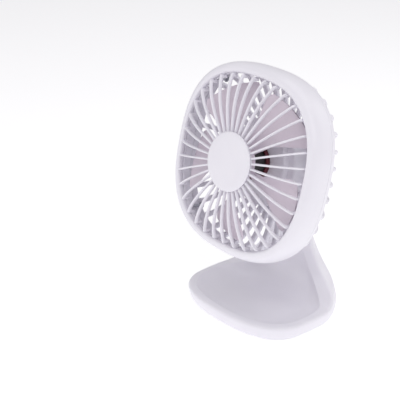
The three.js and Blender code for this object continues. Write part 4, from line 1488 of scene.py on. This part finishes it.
# ---------------------------------------------------------------- stand
@dataclass
class Stand:
    """The foot, bend and neck, bent from one strip, with the two hinge ears."""

    pad: float = 0.9
    tip: float = -41.0
    flat: float = 62.0
    bend: float = 27.0
    lean: float = 11.0
    rim_foot: float = 12.0
    rim_neck: float = 8.0
    floor: float = 5.0
    floor_thick: float = 2.0
    flare: float = 2.8
    half: float = 60.0
    top: float = 150.5
    inset: float = 5.3
    steps: int = 46
    hinge: Pair = (22.8265, 77.6418)
    ear_from: float = 9.4
    ear_to: float = 14.4
    ear_radius: float = 6.6
    sink: float = 11.4

    def outline(self) -> list[Pair]:
        """Right half of the stand's outline: half-width and distance from the tip."""
        shares = [
            (0.0, 0.0),
            (0.44, 2.2),
            (0.8, 11.0),
            (0.965, 25.0),
            (1.0, 42.0),
            (0.997, 62.0),
            (0.94, 78.0),
            (0.86, 89.5),
            (0.767, 98.0),
            (0.672, 106.0),
            (0.565, 115.0),
            (0.483, 124.0),
            (0.425, 133.0),
            (0.375, self.top - 8.5),
            (0.3, self.top - 3.0),
            (0.15, self.top - 0.3),
            (0.0, self.top),
        ]
        return [(x * self.half, s) for x, s in shares]

    def dish_edge(self) -> list[Pair]:
        """Right half of the dish's edge, point for point beside the outline."""
        shares = [
            (0.0, 6.4),
            (0.392, 8.4),
            (0.71, 16.0),
            (0.855, 28.0),
            (0.887, 42.0),
            (0.85, 60.5),
            (0.725, 75.0),
            (0.6, 86.0),
            (0.51, 94.5),
            (0.438, 102.0),
            (0.365, 110.0),
            (0.295, 118.0),
            (0.225, 125.0),
            (0.17, self.top - 20.0),
            (0.115, self.top - 16.5),
            (0.055, self.top - 14.6),
            (0.0, self.top - 14.0),
        ]
        return [(x * self.half, s) for x, s in shares]

    def bend_angle(self, s: float) -> float:
        """How far the strip has turned up at a distance along it."""
        return min(max((s - self.flat) / self.bend, 0.0), math.radians(90.0 + self.lean))

    def bent(self, x: float, s: float, h: float) -> Vector:
        """Where a point of the strip lies: s along the underside and h above it."""
        full = math.radians(90.0 + self.lean)
        angle, r = self.bend_angle(s), self.bend - h
        rest = max(0.0, s - self.flat - full * self.bend)
        y = self.tip + min(s, self.flat) + r * math.sin(angle) + rest * math.cos(angle)
        z = self.pad + self.bend - r * math.cos(angle) + rest * math.sin(angle)
        return Vector((x, y, z))

    def rim(self, s: float) -> float:
        """Height of the rim over the underside."""
        t = min(max((s - 98.0) / 40.0, 0.0), 1.0)
        return self.rim_foot + (self.rim_neck - self.rim_foot) * t * t * (3.0 - 2.0 * t)

    def line(self) -> list[tuple[Vector, Vector, Vector]]:
        """Points round the stand: the outline, its outward normal and the dish's edge beside it."""
        loops = []
        for half in (self.outline(), self.dish_edge()):
            loops.append([*half, *[(-x, s) for x, s in reversed(half[1:-1])]])
        samples = 1600
        dense = [Vector(at_spline(loops[0], i / samples, True)) for i in range(samples + 1)]
        run = [0.0]
        for p, q in zip(dense, dense[1:]):
            run.append(run[-1] + (q - p).length)
        places = []
        for i in range(self.steps * 2):
            goal = run[-1] * i / (self.steps * 2)
            k = max(bisect_left(run, goal), 1)
            t = (k - 1 + (goal - run[k - 1]) / (run[k] - run[k - 1])) / samples
            p = Vector(at_spline(loops[0], t, True))
            ahead = Vector(at_spline(loops[0], (t + 5e-4) % 1.0, True))
            behind = Vector(at_spline(loops[0], (t - 5e-4) % 1.0, True))
            tangent = (ahead - behind).normalized()
            normal = Vector((tangent.y, -tangent.x))
            places.append((p, normal, Vector(at_spline(loops[1], t, True))))
        return places

    def shell(self) -> Form:
        """The strip's closed shell as a cage of rings for subdivision."""
        line = self.line()

        def outer(inset: float, drop: float | None = None, height: float = 0.0) -> Ring:
            """A ring drawn in from the outline, under the rim or at a height."""
            return [
                self.bent(*(p - n * inset), height if drop is None else self.rim(p.y) - drop)
                for p, n, _ in line
            ]

        def across(share: float, drop: float) -> Ring:
            """A ring part of the way over the rim."""
            return [self.bent(*p.lerp(e, share), self.rim(p.y) - drop) for p, _, e in line]

        def dish(share: float, drop: float) -> Ring:
            """A ring part of the way down the dish."""
            ring = []
            for p, _, e in line:
                middle = min(max(e.y, 30.0), self.top - 28.0)
                fall = (1.0 - min(1.0, share / 0.45)) ** 2
                h = self.floor + (self.rim(p.y) - 0.5 - self.floor) * fall - drop
                ring.append(self.bent(e.x * (1.0 - share), e.y + (middle - e.y) * share, h))
            return ring

        thin = self.floor_thick
        rings = [
            *(dish(share, 0.0) for share in (0.93, 0.75, 0.56, 0.45, 0.36, 0.28, 0.2, 0.13, 0.065, 0.02)),
            across(0.985, 0.16),
            across(0.9, 0.0),
            across(0.5, -0.05),
            outer(1.5, drop=0.1),
            outer(0.5, drop=0.8),
            outer(0.0, drop=2.2),
            outer(self.flare * 0.2, drop=4.6),
            outer(self.flare * 0.55, height=3.4),
            outer(self.flare * 0.85, height=1.2),
            outer(self.flare + 0.5, height=0.25),
            outer(self.flare + 1.2, height=0.0),
            outer(self.inset - GAP - 0.15, height=0.0),
            outer(self.inset - GAP, height=0.15),
            outer(self.inset - GAP - 0.4, height=1.6),
            outer(3.6, height=4.4),
            outer(WALL, drop=4.0),
            across(0.55, WALL),
            across(0.9, WALL + 0.3),
            dish(0.1, thin + 0.4),
            dish(0.24, thin),
            dish(0.45, thin),
            dish(0.93, thin),
        ]
        return self.zipped(rings)

    def zipped(self, rings: list[Ring]) -> Form:
        """Joins rings round the strip and closes both ends straight across.

        Args:
            rings: rings of the same length, from the dish's middle round to its underside.

        Returns:
            The closed form.
        """
        count = self.steps * 2
        form = Form([p for ring in rings for p in ring])
        for k in range(len(rings) - 1):
            for i in range(count):
                j, a, b = (i + 1) % count, k * count, (k + 1) * count
                form.faces.append((a + i, a + j, b + j, b + i))
        for start in (0, (len(rings) - 1) * count):
            for i in range(self.steps):
                near, far = start + i, start + i + 1
                other_far = start + (count - i - 1) % count
                other_near = start + (count - i) % count
                corners = (near, far, other_far, other_near)
                form.faces.append(tuple(dict.fromkeys(corners)))
        return form

    def ear(self, side: int) -> Form:
        """An ear, round about the hinge and drawn back to the top of the neck.

        Args:
            side: -1 for the left and 1 for the right.

        Returns:
            The closed form.
        """
        hinge_y, hinge_z = self.hinge
        low = self.bent(0.0, self.top - 19.0, self.floor - 1.0)
        high = self.bent(0.0, self.top - 4.0, self.floor - 1.4)

        def tangent(p: Vector, turn: int) -> float:
            """Angle at which a straight edge from a point leaves the round end."""
            dy, dz = p.y - hinge_y, p.z - hinge_z
            return math.atan2(dz, dy) + turn * math.acos(self.ear_radius / math.hypot(dy, dz))

        start, end = tangent(low, -1) + TAU, tangent(high, 1)
        arc = [start + (end - start) * i / 28 for i in range(29)]
        r = self.ear_radius
        edge = [(low.y, low.z), *((hinge_y + r * math.cos(a), hinge_z + r * math.sin(a)) for a in arc)]
        edge.append((high.y, high.z))
        return loft([[Vector((side * x, y, z)) for y, z in edge] for x in (self.ear_from, self.ear_to)])

    def ear_cut(self) -> Form:
        """The pin's bore and the sinks in the ears."""
        cuts = along_x(rod(2.8, -20.0, 20.0), *self.hinge)
        for ends in ((-30.0, -self.sink), (self.sink, 30.0)):
            cuts.add(along_x(rod(4.8, *ends), *self.hinge))
        return cuts

    def build(self) -> None:
        """Makes the shell and the ears."""
        stand = {"body": Body.STAND, "slot": Slot.SHELL, "matrix": MILLIMETRES}
        shell = Piece("stand_body", replaces=("stand_shell",), smooth=2, sharp=50.0, **stand)
        shell.make(self.shell())
        for side, name in ((-1, "left"), (1, "right")):
            ear = Piece(f"ear_{name}", replaces=("stand_shell",), bevel=0.5, cut=self.ear_cut(), **stand)
            ear.make(self.ear(side))


# ---------------------------------------------------------------- screws
@dataclass
class ScrewSet:
    """Cross-head screws of one size, set at given places with their heads along one direction each."""

    name: str
    body: Body
    replaces: tuple[str, ...]
    places: list[Triple]
    turns: list[float]
    matrix: Matrix
    head: float = 2.6
    head_tall: float = 1.4
    shank: float = 1.2
    length: float = 10.0

    def build(self) -> None:
        """Makes all of the set's screws as one piece."""
        board = FormBoard(self.name)
        head = board.number("Head radius", self.head)
        tall = board.number("Head height", self.head_tall)
        shank = board.number("Shank radius", self.shank)
        length = board.number("Shank length", self.length)
        cap = self.cylinder(board, head, tall, tall / 2.0, 5)
        place = board.node("GeometryNodeInputPosition")
        x = board.node("ShaderNodeSeparateXYZ", {}, {0: place}, "X")
        y = board.node("ShaderNodeSeparateXYZ", {}, {0: place}, "Y")
        z = board.node("ShaderNodeSeparateXYZ", {}, {0: place}, "Z")
        out = (x * x + y * y) ** 0.5 / head
        drop = board.vector(0.0, 0.0, -(z > tall * 0.9) * out**3.0 * tall * 0.45)
        cap = board.node("GeometryNodeSetPosition", {}, {"Geometry": cap, "Offset": drop})
        cross = board.node("GeometryNodeJoinGeometry")
        for across, along in ((head * 1.15, head * 0.26), (head * 0.26, head * 1.15)):
            size = board.vector(across, along, tall * 1.2)
            bar = board.node("GeometryNodeMeshCube", {}, {"Size": size})
            lifted = {"Geometry": bar, "Translation": board.vector(0.0, 0.0, tall * 1.05)}
            bar = board.node("GeometryNodeTransform", {}, lifted)
            board.tree.links.new(bar.socket, cross.socket.node.inputs[0])
        cut = {"operation": "DIFFERENCE"}
        cap = board.node("GeometryNodeMeshBoolean", cut, {"Mesh 1": cap, "Mesh 2": cross})
        rod_form = self.cylinder(board, shank, length, length * -0.5 + 0.05, 1)
        screw = board.node("GeometryNodeJoinGeometry")
        for part in (cap, rod_form):
            board.tree.links.new(part.socket, screw.socket.node.inputs[0])
        tilt = board.vector(board.recalled("turn"), 0.0, 0.0)
        rotation = board.node("FunctionNodeEulerToRotation", {}, {0: tilt})
        sockets = {"Points": board.given_geometry(), "Instance": screw, "Rotation": rotation}
        placed = board.node("GeometryNodeInstanceOnPoints", {}, sockets)
        board.finish(placed, Palette.material(Slot.STEEL))
        piece = Piece(self.name, self.body, Slot.STEEL, self.replaces, self.matrix, sharp=32.0)
        piece.make(board.mesh(self.places, self.turns))

    @staticmethod
    def cylinder(board: FormBoard, radius: Wire, depth: Wire, middle: Wire, rings: int) -> Wire:
        """A cylinder along z.

        Args:
            board: the tree.
            radius: its radius.
            depth: its length.
            middle: height of its middle.
            rings: rings of faces on each end.

        Returns:
            The cylinder's mesh.
        """
        sockets = {"Vertices": 28, "Fill Segments": rings, "Radius": radius, "Depth": depth}
        made = board.node("GeometryNodeMeshCylinder", {}, sockets)
        lifted = {"Geometry": made, "Translation": board.vector(0.0, 0.0, middle)}
        return board.node("GeometryNodeTransform", {}, lifted)


def screw_sets(stand: Stand, rear: RearCage) -> list[ScrewSet]:
    """The screws of the shells, the cover and the stand.

    Args:
        stand: the stand, which places its own.
        rear: the rear cage, which places the cover's.

    Returns:
        The sets, ready to build.
    """
    backwards = -math.pi / 2
    reach = (rear.half - WALL) * squareness(math.pi / 4) - 3.3
    corner = reach * math.sqrt(0.5)
    corners = ((1, 1), (-1, 1), (-1, -1), (1, -1))
    shell = [(sx * corner, rear.seam + 3.3, sz * corner) for sx, sz in corners]
    cover = [(x, rear.rear + 2.0 + GAP, z) for x, z in rear.screw_places()]
    spots = [(-45.0, 22.0), (45.0, 22.0), (-21.5, 119.0), (21.5, 119.0)]
    under = [tuple(stand.bent(x, s, 0.5)) for x, s in spots]
    turns = [stand.bend_angle(s) + math.pi for _, s in spots]
    small = {"head": 2.3, "head_tall": 0.6, "shank": 1.0, "length": 4.2}
    counts = (("shell", 4), ("cover", 3), ("stand", 4))
    names = [[f"{kind}_screw_{i + 1}" for i in range(count)] for kind, count in counts]
    return [
        ScrewSet("shell_screws", Body.HEAD, tuple(names[0]), shell, [backwards] * 4, HEAD_FRAME),
        ScrewSet("cover_screws", Body.HEAD, tuple(names[1]), cover, [backwards] * 3, HEAD_FRAME),
        ScrewSet("stand_screws", Body.STAND, tuple(names[2]), under, turns, MILLIMETRES, **small),
    ]


# ---------------------------------------------------------------- pieces that keep their shape
@dataclass(frozen=True)
class CarriedOver:
    """Nodes whose shape is right already and that only get their finish."""

    finishes: tuple[tuple[Slot, tuple[str, ...]], ...] = (
        (Slot.INNER, ("stand_base", "hinge_cap_left", "hinge_cap_right")),
        (Slot.RUBBER, ("grip_pad", "battery_pad")),
        (
            Slot.STEEL,
            (
                "ballast_plate",
                "hinge_pin",
                "hinge_nut",
                "motor_shaft",
                "motor_bracket",
                "bracket_screw_1",
                "bracket_screw_2",
                "board_screw_1",
                "board_screw_2",
                "usb_socket",
            ),
        ),
        (Slot.BRASS, ("motor_bush", "motor_commutator")),
        (Slot.COPPER, ("motor_core",)),
        (Slot.MAGNET, ("motor_magnet",)),
        (Slot.MOTOR, ("motor_bell",)),
        (Slot.BLACK, ("hinge_washer_left", "hinge_washer_right", "tact_switch", "control_chip")),
        (Slot.BLACK, ("motor_lead_black", "battery_lead_black")),
        (Slot.RED, ("motor_lead_red", "battery_lead_red")),
        (Slot.CELL, ("battery",)),
        (Slot.BOARD, ("control_board",)),
        (Slot.LENS, ("led_strip", "status_lens")),
    )

    def dress(self) -> None:
        """Gives every carried-over node its material."""
        for slot, names in self.finishes:
            for name in names:
                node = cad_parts[name]
                for place in node.material_slots:
                    place.material = Palette.material(slot)
                log.info("%s keeps its shape, in %s", name, slot.value)


# ---------------------------------------------------------------- studio
@dataclass(frozen=True)
class Lamp:
    """A soft square light aimed at the fan."""

    name: str
    place: Triple
    size: float
    power: float
    colour: Triple = (1.0, 1.0, 1.0)

    def build(self, target: Vector) -> None:
        """Adds the light.

        Args:
            target: the point that it faces.
        """
        data = bpy.data.lights.new(self.name, "AREA")
        data.shape = "SQUARE"
        data.size = self.size
        data.energy = self.power
        data.color = self.colour
        lamp = bpy.data.objects.new(self.name, data)
        lamp.location = self.place
        lamp.rotation_mode = "QUATERNION"
        aim = target - Vector(self.place)
        lamp.rotation_quaternion = aim.to_track_quat("-Z", "Y")
        bpy.context.scene.collection.objects.link(lamp)


@dataclass
class Studio:
    """A pale floor, soft lights and the camera."""

    target: Triple = (0.0, -0.020, 0.132)
    azimuth: float = 49.22
    elevation: float = 24.0
    distance: float = 0.82534
    aside: float = -0.02922
    above: float = -0.02882
    lens: float = 99.0
    floor_radius: float = 3000.0
    floor_thick: float = 4.0
    floor_steps: int = 96
    floor_glow: float = 0.36
    sky_colour: tuple[float, float, float, float] = (0.985, 0.97, 1.0, 1.0)
    sky_strength: float = 0.47
    lamps: tuple[Lamp, ...] = (
        Lamp("key", (0.66, -0.4, 0.8), 0.6, 2.2, (1.0, 0.99, 0.985)),
        Lamp("fill", (-0.6, -0.9, 0.3), 0.8, 1.5, (1.0, 0.985, 0.985)),
        Lamp("overhead", (0.0, 0.1, 1.1), 1.0, 2.6),
        Lamp("rim", (0.35, 0.7, 0.5), 0.6, 0.8),
    )

    def build(self) -> None:
        """Sets up everything round the fan."""
        self.floor()
        self.sky()
        for lamp in self.lamps:
            lamp.build(Vector(self.target))
        self.camera()
        bpy.context.scene.view_settings.view_transform = "Standard"

    def floor(self) -> None:
        """A round floor, level with the underside of the grip pad."""
        board = SurfaceBoard("studio_floor")
        shader = board.node(
            "ShaderNodeBsdfPrincipled",
            {},
            {
                "Base Color": (0.93, 0.93, 0.94, 1.0),
                "Roughness": 0.75 + board.noise(6.0) * 0.05,
                "Specular IOR Level": 0.2,
                "Emission Color": (1.0, 1.0, 1.0, 1.0),
                "Emission Strength": self.floor_glow,
            },
        )
        board.node("ShaderNodeOutputMaterial", {}, {"Surface": shader})
        r, turns = self.floor_radius, [TAU * i / self.floor_steps for i in range(self.floor_steps)]
        rings = [
            [Vector((r * math.cos(a), r * math.sin(a), z)) for a in turns]
            for z in (0.0, -self.floor_thick)
        ]
        item = bpy.data.objects.new("floor", loft(rings).mesh("floor"))
        item.data.transform(MILLIMETRES)
        item.data.materials.append(board.material)
        bpy.context.scene.collection.objects.link(item)

    def sky(self) -> None:
        """Even pale light from all round."""
        world = bpy.data.worlds.new("studio")
        world.use_nodes = True
        shade = world.node_tree.nodes["Background"]
        shade.inputs["Color"].default_value = self.sky_colour
        shade.inputs["Strength"].default_value = self.sky_strength
        bpy.context.scene.world = world

    def camera(self) -> None:
        """The camera, up and to the right of the fan's front."""
        az, el = math.radians(self.azimuth), math.radians(self.elevation)
        back = Vector((math.sin(az) * math.cos(el), -math.cos(az) * math.cos(el), math.sin(el)))
        turn = (-back).to_track_quat("-Z", "Y")
        right, up = turn @ Vector((1, 0, 0)), turn @ Vector((0, 1, 0))
        data = bpy.data.cameras.new("camera")
        data.lens = self.lens
        data.sensor_width = 36.0
        data.clip_start = 0.01
        data.clip_end = 20.0
        item = bpy.data.objects.new("camera", data)
        item.rotation_mode = "QUATERNION"
        item.rotation_quaternion = turn
        offset = right * self.aside + up * self.above
        item.location = Vector(self.target) + back * self.distance + offset
        bpy.context.scene.collection.objects.link(item)
        bpy.context.scene.camera = item


def main() -> None:
    """Builds the studio and every part of the fan in order."""
    logging.basicConfig(level=logging.INFO, format="%(name)s %(message)s", stream=sys.stdout)
    Studio().build()
    stand, rear = Stand(), RearCage()
    stand.build()
    FrontCage().build()
    rear.build()
    Impeller().build()
    Motor().build()
    PowerButton().build()
    for screws in screw_sets(stand, rear):
        screws.build()
    CarriedOver().dress()


if __name__ == "__main__":
    main()
